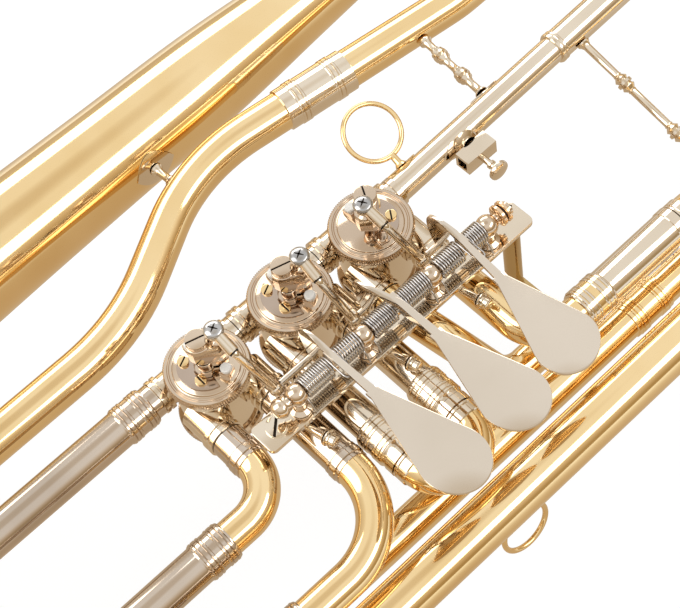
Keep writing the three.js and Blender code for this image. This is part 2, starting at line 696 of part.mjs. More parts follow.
// Stays from the lever plate out to the slide legs, each with a collar and a dark ring
const stayShift = [portX - 5.5, portX, portX];
const stayY = -52;
row.forEach((x, i) => {
  const start = [x + stayShift[i] - 2, plateFarY + 1.6, plateBase - 1.7];
  const end = [x + stayShift[i], stayY, valveTubeR + 3.6];
  place(`plate_stay_${i + 1}`, join(
    bar(start, end, 1.4, 8),
    turned([[0, 0], [2.5, 0], [3.2, 0.6], [3.2, 1.6], [2.5, 2.2], [2.2, 5], [0, 5]], [end[0], end[1] + 2.4, end[2]],
      vec(end[0] - start[0], end[1] - start[1], end[2] - start[2]).normalize(), 12),
  ), nickel);
});

// Return springs: one wire each, coiled on both sides of the lever and bridged under its strip
function springPath(left, right) {
  const coil = ([from, to], way) => {
    const turns = Math.floor((to - from) / coilPitch - 0.5) + 0.5;
    const steps = Math.round(turns * curlSteps);
    const points = [];
    for (let k = 0; k <= steps; k++) {
      const angle = (2 * Math.PI * k) / curlSteps;
      points.push(vec(from + ((to - from) * k) / steps, axleY + coilR * Math.sin(angle),
        axleZ - way * coilR * Math.cos(angle)));
    }
    return { points, turns };
  };
  const first = coil(left, 1);
  const second = coil(right, -1);
  const bridgeY = axleY - 10.5;
  const bend = 1.2;
  const topZ = axleZ + coilR;
  const foot = (x) => [vec(x, axleY - 5.2, plateFace + 0.5), vec(x, axleY - 2.6, axleZ - coilR - 1.5)];
  const points = [
    ...foot(left[0]), ...first.points,
    vec(left[1], bridgeY + bend, topZ), vec(left[1] + bend * 0.3, bridgeY + bend * 0.3, topZ),
    vec(left[1] + bend, bridgeY, topZ), vec(right[0] - bend, bridgeY, topZ),
    vec(right[0] - bend * 0.3, bridgeY + bend * 0.3, topZ), vec(right[0], bridgeY + bend, topZ),
    ...second.points, ...foot(right[1]).reverse(),
  ];
  return { points, curls: first.turns + second.turns };
}

// The least gap of a wire to itself, measured between its points along the path
function leastGap(points) {
  const fine = [];
  points.slice(1).forEach((point, k) => {
    for (let part = 0; part < 3; part++) fine.push(points[k].clone().lerp(point, part / 3));
  });
  let least = Infinity;
  const apart = Math.round((3 * curlSteps) / 2);
  fine.forEach((point, i) => {
    for (let j = i + apart; j < fine.length; j++) least = Math.min(least, point.distanceTo(fine[j]));
  });
  return least - 2 * wireR;
}

const coilEnd = leverWidth / 2 + 0.8;
const coilStart = postFootR + 0.3;
row.forEach((x, i) => {
  const [postLeft, postRight] = [postX[2 - i], postX[3 - i]];
  const { points, curls } = springPath(
    [postLeft + coilStart, leverX[i] - coilEnd],
    [leverX[i] + coilEnd, postRight - coilStart],
  );
  const stations = points.map((point, k) => ({
    point,
    tangent: points[Math.min(points.length - 1, k + 1)].clone().sub(points[Math.max(0, k - 1)]).normalize(),
  }));
  place(`spring_${i + 1}`, sweep(ringShape(wireR, wireSides), stations), steel);
  console.log(`spring_${i + 1}: ${curls} curls, least gap ${leastGap(points).toFixed(2)} mm`);
});

// A saddle plate: a lens-shaped piece of sheet that lies on a tube and faces along a direction
function saddle(at, axis, tubeR, facing, long, wide) {
  const out = facing.clone().addScaledVector(axis, -facing.dot(axis)).normalize();
  const sides = 16;
  const sheet = (r) => bar(vec(...at).addScaledVector(axis, -long).toArray(),
    vec(...at).addScaledVector(axis, long).toArray(), r / Math.cos(Math.PI / sides), sides);
  const lens = new THREE.Shape();
  lens.moveTo(-long / 2, 0);
  lens.quadraticCurveTo(0, -wide, long / 2, 0);
  lens.quadraticCurveTo(0, wide, -long / 2, 0);
  const prism = new THREE.ExtrudeGeometry(lens, { depth: tubeR + 4, bevelEnabled: false, curveSegments: 4 });
  prism.applyMatrix4(new THREE.Matrix4().makeBasis(axis, out.clone().cross(axis), out));
  prism.translate(at[0], at[1], at[2]);
  const shell = toSolid(sheet(tubeR + 1.3)).subtract(toSolid(sheet(tubeR + touchGap)));
  return toGeometry(shell.intersect(toSolid(prism)));
}

// A turned baluster between two points
function baluster(from, to, swells) {
  const span = to.clone().sub(from);
  const length = span.length();
  const profile = [[0, 0], [2.8, 0], [2, 2]];
  for (const part of swells) {
    const at = part * length;
    profile.push([1.9, at - 3.4], [3.2, at - 1.4], [3.2, at + 1.4], [1.9, at + 3.4]);
  }
  profile.push([2, length - 2], [2.8, length], [0, length]);
  return turned(profile, from.toArray(), span.normalize(), 8);
}

// Finger ring on the leadpipe, for the left hand
const ringAlong = 10.7;
const ringX = leadStart + ringAlong;
const ringR = 11.6;
const ringWire = 1;
const ringWay = vec(0, 0.89, 0.457).normalize();
const ringReach = 23;
const ringBasis = new THREE.Matrix4().makeBasis(X, ringWay, X.clone().cross(ringWay));
const ringHoop = (reach, foot) => new THREE.TorusGeometry(ringR, ringWire, 5, 16).applyMatrix4(ringBasis)
  .translate(...vec(...foot).addScaledVector(ringWay, reach).toArray());
const ringFoot = onLead(ringX);
const ringPoint = (reach) => vec(...ringFoot).addScaledVector(ringWay, reach).toArray();
place("finger_ring", join(
  ringHoop(ringReach, ringFoot),
  turned([[0, 0], [2.6, 0], [1.5, 1.6], [1.5, ringReach - ringR - leadR - 0.9], [0, ringReach - ringR - leadR - 0.9]],
    ringPoint(leadR + 0.7), ringWay, 10),
  saddle(ringFoot, leadAxis, leadR, ringWay, 14, 9),
), brass);

// Finger hook: a ring under the last branch, for the right hand
const hookX = 8.6;
const hookRingR = 10.4;
const hookWay = vec(0, -0.2, -0.98).normalize();
const hookFoot = [hookX, lastY, lastZ];
const hookReach = lastR + 1.8 + hookRingR;
const hookBasis = new THREE.Matrix4().makeBasis(X, hookWay, X.clone().cross(hookWay));
place("finger_hook", join(
  new THREE.TorusGeometry(hookRingR, 1.1, 5, 16).applyMatrix4(hookBasis)
    .translate(...vec(...hookFoot).addScaledVector(hookWay, hookReach).toArray()),
  turned([[0, 0], [2.8, 0], [1.8, 1.6], [0, 1.6]],
    vec(...hookFoot).addScaledVector(hookWay, lastR + 0.7).toArray(), hookWay, 10),
  saddle(hookFoot, X, lastR, hookWay, 20, 9),
), brass);

// Lyre socket on the leadpipe, with its thumb screw
const lyreX = 96;
const lyreLong = 15;
const lyreTop = 6.4;
const lyreY = 0.4;
const lyreWay = vec(0, -0.94, 0.34).normalize();
const socket = cut(
  block([lyreX - lyreLong / 2, lyreY - 3.6, lyreTop - 7.4], [lyreX + lyreLong / 2, lyreY + 3.6, lyreTop]),
  block([lyreX - lyreLong, lyreY - 2.3, lyreTop - 6], [lyreX + lyreLong, lyreY + 2.3, lyreTop - 1.4]),
  bar([lyreX, lyreY, lyreTop - 3.7], [lyreX, lyreY - 9, lyreTop - 3.7], 1.6, 8),
);
place("lyre_socket", join(
  socket,
  turned([[0, 0], [5.4, 0], [5.4, 1], [3.4, 1.6], [3.4, 4], [0, 4]],
    vec(...onLead(lyreX)).addScaledVector(lyreWay, leadR + 0.5).toArray(), lyreWay, 12),
  saddle(onLead(lyreX), leadAxis, leadR, lyreWay, 22, 10),
), nickel);
place("lyre_screw", turned([
  [0, 0], [1.3, 0], [1.3, 5.1], [1.9, 5.1], [1.9, 8.1], [4.3, 8.7], [4.3, 10.5], [3.4, 11.1], [0, 11.1],
], [lyreX, lyreY - 2.5, lyreTop - 3.7], vec(0, -1, 0), 12), nickel);

// Balusters and the bell post
const frontX = 117.5;
const frontFrom = vec(...onLead(frontX)).add(vec(0, leadR + 0.8, 0));
const frontTo = vec(...onSlope(frontX + 5.5)).add(vec(0, -middleR - 1.5, 0));
place("brace_front", join(
  baluster(frontFrom, frontTo, [0.33, 0.72]),
  saddle(onLead(frontX), leadAxis, leadR, vec(0, 1, 0), 17, 9),
), nickel);
const rearX = leadSleeveX + 10.5;
const rearFrom = vec(...onLead(rearX)).add(vec(0, -leadR - 1.4, 0));
const rearTo = vec(rearX, tailY + 0.97 * (middleR + 0.9), tailZ + 0.23 * (middleR + 0.9));
place("brace_rear", baluster(rearFrom, rearTo, [0.28, 0.62]), nickel);
const bellPostX = 8;
const bellPostR = 21.2;
const bellPostLong = 10.2;
const bellPostWay = vec(0, 0.99, -0.14).normalize();
place("bell_post", join(
  turned([[0, 0], [2.6, 0], [1.8, 1.4], [1.8, bellPostLong - 1.2], [2.6, bellPostLong], [0, bellPostLong]],
    [bellPostX, bellY - bellPostR - bellPostLong - 0.5, bellZ + 4.4], bellPostWay, 12),
  saddle([bellPostX, bellY, bellZ], X, bellPostR, vec(0, -1, 0.14), 19, 16),
), nickel);

// The whole instrument sits with its bounding box centred on the origin
horn.updateMatrixWorld(true);
const middle = new THREE.Box3().setFromObject(horn).getCenter(vec(0, 0, 0));
horn.position.copy(middle).negate();
console.log(`origin in the layout frame: ${middle.toArray().map((value) => value.toFixed(3)).join(" ")}`);

export default horn;
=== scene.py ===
import bpy
import bmesh
import math
from mathutils import Matrix, Vector


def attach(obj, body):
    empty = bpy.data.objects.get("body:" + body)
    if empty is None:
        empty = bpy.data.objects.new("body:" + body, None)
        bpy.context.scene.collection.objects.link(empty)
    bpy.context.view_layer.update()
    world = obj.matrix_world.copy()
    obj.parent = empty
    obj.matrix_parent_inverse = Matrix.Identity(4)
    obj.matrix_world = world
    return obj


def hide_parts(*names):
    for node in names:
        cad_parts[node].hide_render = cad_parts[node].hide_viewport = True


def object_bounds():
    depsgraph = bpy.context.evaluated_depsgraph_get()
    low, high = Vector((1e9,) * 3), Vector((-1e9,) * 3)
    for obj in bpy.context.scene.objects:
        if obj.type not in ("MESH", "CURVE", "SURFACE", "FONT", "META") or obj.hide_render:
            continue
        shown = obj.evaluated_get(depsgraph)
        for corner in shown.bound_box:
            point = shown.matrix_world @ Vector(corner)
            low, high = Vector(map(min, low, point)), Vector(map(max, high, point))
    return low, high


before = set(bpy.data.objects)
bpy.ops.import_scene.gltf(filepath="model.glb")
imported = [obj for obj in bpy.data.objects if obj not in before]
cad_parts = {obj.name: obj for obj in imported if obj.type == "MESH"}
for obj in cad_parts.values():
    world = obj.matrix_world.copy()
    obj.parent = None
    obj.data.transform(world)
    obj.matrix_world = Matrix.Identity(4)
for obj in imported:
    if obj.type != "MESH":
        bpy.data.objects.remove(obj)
cad_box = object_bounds()


# The camera looks down on the valves from the paddle side, rolled a little, as for a catalogue.
# The horn's own drawing frame has valve two at its origin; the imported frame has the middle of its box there.
drawing_middle = Vector((-22.423, 42.019, -8.000))


def spot(x, y, z):
    return (Vector((x, y, z)) - drawing_middle) / 1000


azimuth, elevation, roll = (math.radians(v) for v in (-31.02, 59.09, -13.88))
back = Vector((math.sin(azimuth) * math.cos(elevation), -math.cos(azimuth) * math.cos(elevation),
               math.sin(elevation)))
right = Vector((math.cos(azimuth), math.sin(azimuth), 0))
up = back.cross(right)
camera_x = right * math.cos(roll) + up * math.sin(roll)
camera_y = up * math.cos(roll) - right * math.sin(roll)
camera = bpy.data.objects.new("camera", bpy.data.cameras.new("camera"))
bpy.context.scene.collection.objects.link(camera)
camera.matrix_world = Matrix((
    (camera_x.x, camera_y.x, back.x, 0), (camera_x.y, camera_y.y, back.y, 0),
    (camera_x.z, camera_y.z, back.z, 0), (0, 0, 0, 1)))
camera.matrix_world.translation = spot(-166.81, -310.25, 587.68)
focal_pixels, picture_wide, sensor_wide = 1833, 680, 36
camera.data.sensor_width = sensor_wide
camera.data.lens = focal_pixels * sensor_wide / picture_wide
camera.data.clip_start = 0.01
camera.data.clip_end = 20
bpy.context.scene.camera = camera


# The bell is one sheet of brass, spun on a mandrel, with its edge rolled over a wire, then polished and lacquered.
# It runs on from the bell bow and lies along the whole instrument. Hand polish leaves fine hairlines and slow
# waves: one group of nodes gives them to every metal of the horn, with each metal's own tone and gloss.
def node(tree, kind, place, **values):
    made = tree.nodes.new(kind)
    made.location = place
    for key, value in values.items():
        setattr(made, key, value)
    return made


polish = bpy.data.node_groups.new("hand_polish", "ShaderNodeTree")
for label, kind in (("Tone", "NodeSocketColor"), ("Deep tone", "NodeSocketColor"), ("Gloss", "NodeSocketFloat"),
                    ("Haze", "NodeSocketFloat"), ("Hairlines", "NodeSocketFloat"), ("Waves", "NodeSocketFloat")):
    polish.interface.new_socket(name=label, in_out="INPUT", socket_type=kind)
for label, kind in (("Color", "NodeSocketColor"), ("Roughness", "NodeSocketFloat"), ("Height", "NodeSocketFloat")):
    polish.interface.new_socket(name=label, in_out="OUTPUT", socket_type=kind)
inside = node(polish, "NodeGroupInput", (-900, 0))
outside = node(polish, "NodeGroupOutput", (700, 0))
where = node(polish, "ShaderNodeTexCoord", (-900, -300))
slow = node(polish, "ShaderNodeTexNoise", (-500, 200))
slow.inputs["Scale"].default_value = 22
slow.inputs["Detail"].default_value = 3
mist = node(polish, "ShaderNodeTexNoise", (-500, -50))
mist.inputs["Scale"].default_value = 160
mist.inputs["Detail"].default_value = 5
stretch = node(polish, "ShaderNodeMapping", (-700, -350))
stretch.inputs["Scale"].default_value = (40, 500, 500)
lines = node(polish, "ShaderNodeTexNoise", (-500, -350))
lines.inputs["Scale"].default_value = 1
lines.inputs["Detail"].default_value = 2
tint = node(polish, "ShaderNodeMix", (-150, 200), data_type="RGBA")
spread = node(polish, "ShaderNodeMapRange", (-330, 200))
spread.inputs["From Min"].default_value = 0.35
spread.inputs["From Max"].default_value = 0.7
rough = node(polish, "ShaderNodeMath", (100, -50), operation="MULTIPLY_ADD")
low = node(polish, "ShaderNodeMath", (-100, -350), operation="MULTIPLY")
wave = node(polish, "ShaderNodeMath", (100, -300), operation="MULTIPLY_ADD")
polish.links.new(where.outputs["Object"], slow.inputs["Vector"])
polish.links.new(where.outputs["Object"], mist.inputs["Vector"])
polish.links.new(where.outputs["Object"], stretch.inputs["Vector"])
polish.links.new(stretch.outputs["Vector"], lines.inputs["Vector"])
polish.links.new(slow.outputs["Fac"], spread.inputs["Value"])
polish.links.new(spread.outputs["Result"], tint.inputs["Factor"])
polish.links.new(inside.outputs["Tone"], tint.inputs["A"])
polish.links.new(inside.outputs["Deep tone"], tint.inputs["B"])
polish.links.new(mist.outputs["Fac"], rough.inputs[0])
polish.links.new(inside.outputs["Haze"], rough.inputs[1])
polish.links.new(inside.outputs["Gloss"], rough.inputs[2])
polish.links.new(lines.outputs["Fac"], low.inputs[0])
polish.links.new(inside.outputs["Hairlines"], low.inputs[1])
polish.links.new(slow.outputs["Fac"], wave.inputs[0])
polish.links.new(inside.outputs["Waves"], wave.inputs[1])
polish.links.new(low.outputs[0], wave.inputs[2])
polish.links.new(tint.outputs["Result"], outside.inputs["Color"])
polish.links.new(rough.outputs[0], outside.inputs["Roughness"])
polish.links.new(wave.outputs[0], outside.inputs["Height"])


def metal(name, tone, deep, gloss, haze, hairlines=0.01, waves=0.5, coat=0.0, metallic=1.0, strength=0.02):
    made = bpy.data.materials.new(name)
    made.use_nodes = True
    tree = made.node_tree
    shader = tree.nodes["Principled BSDF"]
    group = node(tree, "ShaderNodeGroup", (-500, 0), node_tree=polish)
    group.inputs["Tone"].default_value = (*tone, 1)
    group.inputs["Deep tone"].default_value = (*deep, 1)
    group.inputs["Gloss"].default_value = gloss
    group.inputs["Haze"].default_value = haze
    group.inputs["Hairlines"].default_value = hairlines
    group.inputs["Waves"].default_value = waves
    bump = node(tree, "ShaderNodeBump", (-250, -250))
    bump.inputs["Strength"].default_value = strength
    bump.inputs["Distance"].default_value = 0.0006
    tree.links.new(group.outputs["Color"], shader.inputs["Base Color"])
    tree.links.new(group.outputs["Roughness"], shader.inputs["Roughness"])
    tree.links.new(group.outputs["Height"], bump.inputs["Height"])
    tree.links.new(bump.outputs["Normal"], shader.inputs["Normal"])
    shader.inputs["Metallic"].default_value = metallic
    shader.inputs["Coat Weight"].default_value = coat
    shader.inputs["Coat Roughness"].default_value = 0.04
    return made


def turned(profile, at, axis, sides=64, slot=0, teeth=None):
    way = Vector(axis).normalized()
    spin = Vector((0, 0, 1)).rotation_difference(way).to_matrix()
    verts, faces, rings = [], [], []
    for j, (r, h) in enumerate(profile):
        ring = []
        if r < 1e-6:
            verts.append(spin @ Vector((0, 0, h)) + Vector(at))
            ring = [len(verts) - 1] * sides
        else:
            for k in range(sides):
                angle = 2 * math.pi * k / sides
                near = r - (teeth[1] if teeth and j in teeth[0] and k % 2 else 0)
                verts.append(spin @ Vector((near * math.cos(angle), near * math.sin(angle), h)) + Vector(at))
                ring.append(len(verts) - 1)
        rings.append(ring)
    for a, b in zip(rings, rings[1:]):
        for k in range(sides):
            face = [a[k], a[(k + 1) % sides], b[(k + 1) % sides], b[k]]
            face = [v for n, v in enumerate(face) if v not in face[:n]]
            if len(face) > 2:
                faces.append(face)
    return verts, faces, slot


def piece(name, parts, body, materials, replaces=(), crease=38):
    mesh = bpy.data.meshes.new(name)
    verts, faces, slots = [], [], []
    for part_verts, part_faces, part_slot in parts:
        start = len(verts)
        verts += [spot(*v) for v in part_verts]
        faces += [[start + v for v in face] for face in part_faces]
        slots += [part_slot] * len(part_faces)
    mesh.from_pydata(verts, [], faces)
    for material in materials:
        mesh.materials.append(material)
    mesh.polygons.foreach_set("material_index", slots)
    mesh.polygons.foreach_set("use_smooth", [True] * len(faces))
    mesh.update()
    mesh.set_sharp_from_angle(angle=math.radians(crease))
    made = bpy.data.objects.new(name, mesh)
    bpy.context.scene.collection.objects.link(made)
    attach(made, body)
    if replaces:
        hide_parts(*replaces)
    return made


def through(stations, per=10):
    made = []
    for i in range(len(stations) - 1):
        p = [stations[max(0, i - 1)], stations[i], stations[i + 1], stations[min(len(stations) - 1, i + 2)]]
        for k in range(per):
            t = k / per
            made.append([0.5 * (2 * p[1][n] + (p[2][n] - p[0][n]) * t
                                + (2 * p[0][n] - 5 * p[1][n] + 4 * p[2][n] - p[3][n]) * t * t
                                + (3 * p[1][n] - p[0][n] - 3 * p[2][n] + p[3][n]) * t ** 3) for n in (0, 1)])
    return made + [list(stations[-1])]


brass = metal("lacquered_brass", (0.92, 0.70, 0.38), (0.84, 0.60, 0.28), 0.05, 0.05, coat=0.5)
bell_y, bell_z = 115.4, -8
right_bow_x = 160
bell_shape = [(right_bow_x - 0.3, 12.6), (104, 16.4), (54, 19.9), (0, 21.3), (-57, 23.1), (-120, 26), (-180, 30),
              (-230, 35.5), (-264, 41.5), (-290, 49), (-308, 58), (-320, 68), (-327, 77), (-329, 82.3)]
bell_sheet_thick, bell_sheet_back = 0.7, 0.5
bell_outside = [(r, -x) for x, r in through(bell_shape)]
bell_inside = [(r - bell_sheet_thick, h - bell_sheet_back) for r, h in bell_outside[::-1]]
rim_r, rim_x, rim_wire = 82.6, 328.7, 1.3
rim = [(rim_r + rim_wire * math.cos(a), rim_x + rim_wire * math.sin(a))
       for a in [math.pi * (0.95 - k / 9) for k in range(15)]]
piece("bell_sheet", [turned(bell_outside + rim + bell_inside, (0, bell_y, bell_z), (-1, 0, 0), 144)],
      "horn", [brass], ["bell"])


# The great bow and the last branch are brass tubes, drawn wider as they run towards the bell; the bow is bent
# full of pitch. They are soldered end to end, and a narrow nickel garland covers each joint of the bow.
nickel = metal("nickel_silver", (0.80, 0.70, 0.56), (0.70, 0.59, 0.45), 0.06, 0.06, coat=0.4)
last_y, last_z = -104, -17
last_r = 9.8
left_bow_x = -188


def bent(corners, step=0.05):
    points = [Vector(c[:3]) for c in corners]
    line = [points[0]]
    for i in range(1, len(points) - 1):
        before = (points[i] - points[i - 1]).normalized()
        after = (points[i + 1] - points[i]).normalized()
        turn = before.angle(after)
        if turn < 1e-4:
            continue
        radius = corners[i][3]
        axis = before.cross(after).normalized()
        inward = axis.cross(before)
        start = points[i] - before * radius * math.tan(turn / 2)
        centre = start + inward * radius
        count = max(3, math.ceil(turn / step))
        for k in range(count + 1):
            line.append(centre + Matrix.Rotation(turn * k / count, 3, axis) @ (-inward * radius))
    line.append(points[-1])
    kept = [line[0]]
    for point in line[1:]:
        if (point - kept[-1]).length > 0.02:
            kept.append(point)
    return kept


def swept(line, radius, sides=40, slot=0, closed=False):
    total = [0]
    for a, b in zip(line, line[1:]):
        total.append(total[-1] + (b - a).length)
    size = radius if callable(radius) else (lambda s: radius)
    verts, faces = [], []
    normal = None
    for i, point in enumerate(line):
        a, b = line[max(0, i - 1)], line[min(len(line) - 1, i + 1)]
        if closed:
            a, b = line[i - 1], line[(i + 1) % len(line)]
        way = (b - a).normalized()
        if normal is None:
            normal = way.orthogonal().normalized()
        normal = (normal - way * normal.dot(way)).normalized()
        side = way.cross(normal)
        r = size(total[i] / max(total[-1], 1e-9))
        for k in range(sides):
            angle = 2 * math.pi * k / sides
            verts.append(point + (normal * math.cos(angle) + side * math.sin(angle)) * r)
    rings = len(line)
    for i in range(rings if closed else rings - 1):
        j = (i + 1) % rings
        for k in range(sides):
            faces.append([i * sides + k, i * sides + (k + 1) % sides, j * sides + (k + 1) % sides, j * sides + k])
    if not closed:
        faces.append(list(range(sides))[::-1])
        faces.append([(rings - 1) * sides + k for k in range(sides)])
    return verts, faces, slot


def half_turn(x, one, two, way):
    r = math.hypot(two[0] - one[0], two[1] - one[1]) / 2
    return [(x, *one), (x + way * r, *one, r), (x + way * r, *two, r), (x, *two)]


def garland(at, axis, r, long=9, slot=0, sides=64):
    h = long / 2
    return turned([(r, -h), (r + 0.55, -h + 0.2), (r + 0.6, -h + 1.2), (r + 0.45, -h + 1.5), (r + 0.65, -h + 1.9),
                   (r + 0.5, -h + 2.3), (r + 0.5, h - 2.3), (r + 0.65, h - 1.9), (r + 0.45, h - 1.5),
                   (r + 0.6, h - 1.2), (r + 0.55, h - 0.2), (r, h)], at, axis, sides, slot)


bell_bow_r, bell_bow_taper, last_taper = 12.4, 2.4, 0.6
bow_garland_long = 11
piece("bell_bow_tube", [
    swept(bent(half_turn(right_bow_x, (bell_y, bell_z), (last_y, last_z), 1)),
          lambda s: bell_bow_r - bell_bow_taper * s, 56)], "horn", [brass], ["bell_bow"])
piece("bell_bow_garlands", [
    garland((right_bow_x, bell_y, bell_z), (1, 0, 0), 12.5, bow_garland_long),
    garland((right_bow_x, last_y, last_z), (1, 0, 0), 10.1, bow_garland_long)],
    "horn", [nickel])
piece("last_branch_tube", [
    swept([Vector((right_bow_x, last_y, last_z)), Vector((left_bow_x, last_y, last_z))],
          lambda s: last_r - last_taper * s, 56)], "horn", [brass], ["last_branch"])


# Left bow, S branch, inner bow and tail branch are drawn brass tubes in a row of growing bores, soldered together.
# The S branch is bent in two sweeps so that it clears the valves, and meets the inner bow in a nickel ferrule.
s_z, s_left_y = -2, 43.7
middle_r = 8.2
inner_bow_x, s_end_x, s_right_y, s_top_x, s_top_y = 158, 146, 62.8, 17, 81.4
tail_y, tail_z, tail_r = -83.8, -20, 6.75
s_slope = (s_right_y - s_top_y) / (s_end_x - s_top_x)


def on_slope(x):
    return (x, s_top_y + s_slope * (x - s_top_x), s_z)


garland_long = 10
left_bow_growth = 0.9
piece("left_bow_tube", [
    swept(bent(half_turn(left_bow_x, (s_left_y, s_z), (last_y, last_z), -1)),
          lambda s: middle_r + left_bow_growth * s, 48)], "horn", [brass], ["left_bow"])
piece("left_bow_garlands", [
    garland((left_bow_x, s_left_y, s_z), (1, 0, 0), middle_r + 0.2, garland_long),
    garland((left_bow_x, last_y, last_z), (1, 0, 0), 9.4, garland_long)],
    "horn", [nickel])
s_bend_x, s_bend_r, s_top_r = -48.6, 90, 80
piece("s_branch_tube", [
    swept(bent([(left_bow_x, s_left_y, s_z), (s_bend_x, s_left_y, s_z, s_bend_r),
                (s_top_x, s_top_y, s_z, s_top_r), on_slope(64)]), middle_r, 56)],
    "horn", [brass], ["s_branch"])
slope_way = Vector((1, s_slope, 0)).normalized()
ferrule_x, ferrule_run = 60, 32
ferrule_long = ferrule_run * math.hypot(1, s_slope)
ferrule_r = middle_r + 0.75


def ring_pair(at, r):
    return [(r, at - 2.3), (r + 0.28, at - 2.0), (r + 0.28, at - 1.3), (r - 0.12, at - 1.0), (r + 0.28, at - 0.7),
            (r + 0.28, at + 0.7), (r - 0.12, at + 1.0), (r + 0.28, at + 1.3), (r + 0.28, at + 2.0), (r, at + 2.3)]


ferrule_rings_in = 7.5
piece("s_branch_ferrule", [
    turned([(middle_r, 0), (ferrule_r, 0.4)] + ring_pair(ferrule_rings_in, ferrule_r)
           + ring_pair(ferrule_long - ferrule_rings_in, ferrule_r)
           + [(ferrule_r, ferrule_long - 0.4), (middle_r, ferrule_long)], on_slope(ferrule_x), slope_way, 72)],
    "horn", [nickel], ["s_ferrule"])
s_end_r, inner_taper = 60, 1.2
inner = half_turn(inner_bow_x, (s_right_y, s_z), (tail_y, tail_z), 1)
piece("inner_bow_tube", [
    swept(bent([on_slope(88), (s_end_x, s_right_y, s_z, s_end_r), inner[1], inner[2], inner[3]]),
          lambda s: middle_r - inner_taper * s, 48)], "horn", [brass], ["inner_bow"])
tail_end_x = -104
piece("tail_branch_tube", [
    swept([Vector((inner_bow_x, tail_y, tail_z)), Vector((tail_end_x, tail_y, tail_z))], tail_r, 48)],
    "horn", [brass], ["tail_branch"])
tail_cuff_x, tail_cuff_long, tail_cuff_r = 89, 19, tail_r + 0.5
piece("tail_branch_ferrules", [
    turned([(tail_r, 0), (tail_cuff_r, 0.3)] + ring_pair(4, tail_cuff_r) + ring_pair(15, tail_cuff_r)
           + [(tail_cuff_r, 18.7), (tail_r, tail_cuff_long)], (tail_cuff_x, tail_y, tail_z), (1, 0, 0), 56),
    garland((inner_bow_x, tail_y, tail_z), (1, 0, 0), 7.1, garland_long, 1)], "horn", [brass, nickel])


# Slide sleeves are nickel tubes with a soldered ferrule at the valve end, turned with fine rings.
# The inner legs slide in them, and a brass bow joins each pair of legs.
sleeve_nickel = metal("sleeve_nickel", (0.62, 0.52, 0.42), (0.52, 0.43, 0.34), 0.06, 0.06, coat=0.4)
sleeve_r, inner_leg_r = 7.3, 6.1


def sleeve_parts(start, way, long, slot=0):
    r, bead = sleeve_r, sleeve_r + 0.4
    lip, mouth = sleeve_r + 0.3, long - 6
    return turned([(6.4, -0.8), (r + 0.1, -0.6), (bead, 0)] + ring_pair(2.6, bead) + ring_pair(9.8, bead)
                  + [(bead, 12.3), (r + 0.1, 12.7), (r, 13), (r, long - 4), (lip, long - 3.7), (lip, long),
                     (6.5, long), (6.3, mouth), (0, mouth)], start, way, 64, slot)


def bow_parts(one, two, way, leg_start, sleeve_end, straight):
    r = math.dist(one, two) / 2
    w = Vector(way)
    a, b = Vector(one), Vector(two)
    start, turn = sleeve_end + 0.4, sleeve_end + straight + r
    line = bent([(*(a + w * start),), (*(a + w * turn), r), (*(b + w * turn), r), (*(b + w * start),)], 0.07)
    bow_r, cuff_r = sleeve_r - 0.35, sleeve_r + 0.1
    parts = [swept(line, bow_r, 48, 0)]
    for p in (a, b):
        parts.append(swept([p + w * leg_start, p + w * (sleeve_end + 2)], inner_leg_r, 40, 1))
        parts.append(turned([(sleeve_r - 0.4, 0), (cuff_r, 0.2), (cuff_r, 1), (sleeve_r - 0.2, 1.3),
                             (cuff_r, 1.6), (cuff_r, 5), (bow_r, 5.4)], p + w * start, w, 56, 1))
    return parts


valve_pitch, main_y = 41, 12
valve_tube_r = 6.7
main_sleeve_x, main_sleeve_long = -64, 86
tail_sleeve_x, tail_sleeve_long = -104.3, 45.7
main_leg_from, main_sleeve_to, main_straight = 108, 150, 12
piece("main_slide_sleeve", [
    swept([Vector((-60, main_y, 0)), Vector((main_sleeve_x, main_y, 0))], valve_tube_r, 48),
    sleeve_parts((main_sleeve_x, main_y, 0), (-1, 0, 0), main_sleeve_long)],
    "horn", [sleeve_nickel], ["main_sleeve"])
piece("tail_slide_sleeve", [sleeve_parts((tail_sleeve_x, tail_y, tail_z), (-1, 0, 0), tail_sleeve_long)],
      "horn", [sleeve_nickel], ["tail_sleeve"])
piece("main_slide_bow", bow_parts((0, main_y, 0), (0, tail_y, tail_z), (-1, 0, 0), main_leg_from,
                                  main_sleeve_to, main_straight),
      "main_slide", [brass, nickel], ["main_slide"])


# The third slide leaves its valve through two knuckles: a tight one near the valve and a wide one below it.
# The bends are brass, the short pipes at the valve and the sleeves are nickel, with a ring over each joint.
port_x, port_end = 12.5, -20.3
third_x = -valve_pitch


def joint_ring(at, axis, r=valve_tube_r, slot=0):
    waist, rib, band = r + 0.2, r + 0.5, r + 0.8
    return turned([(r - 0.2, -3.4), (rib, -3.2), (rib, -2.2), (waist, -2), (waist, -1.6), (band, -1.2),
                   (band, 1.2), (waist, 1.6), (waist, 2), (rib, 2.2), (rib, 3.2), (r - 0.2, 3.4)],
                  at, axis, 56, slot)


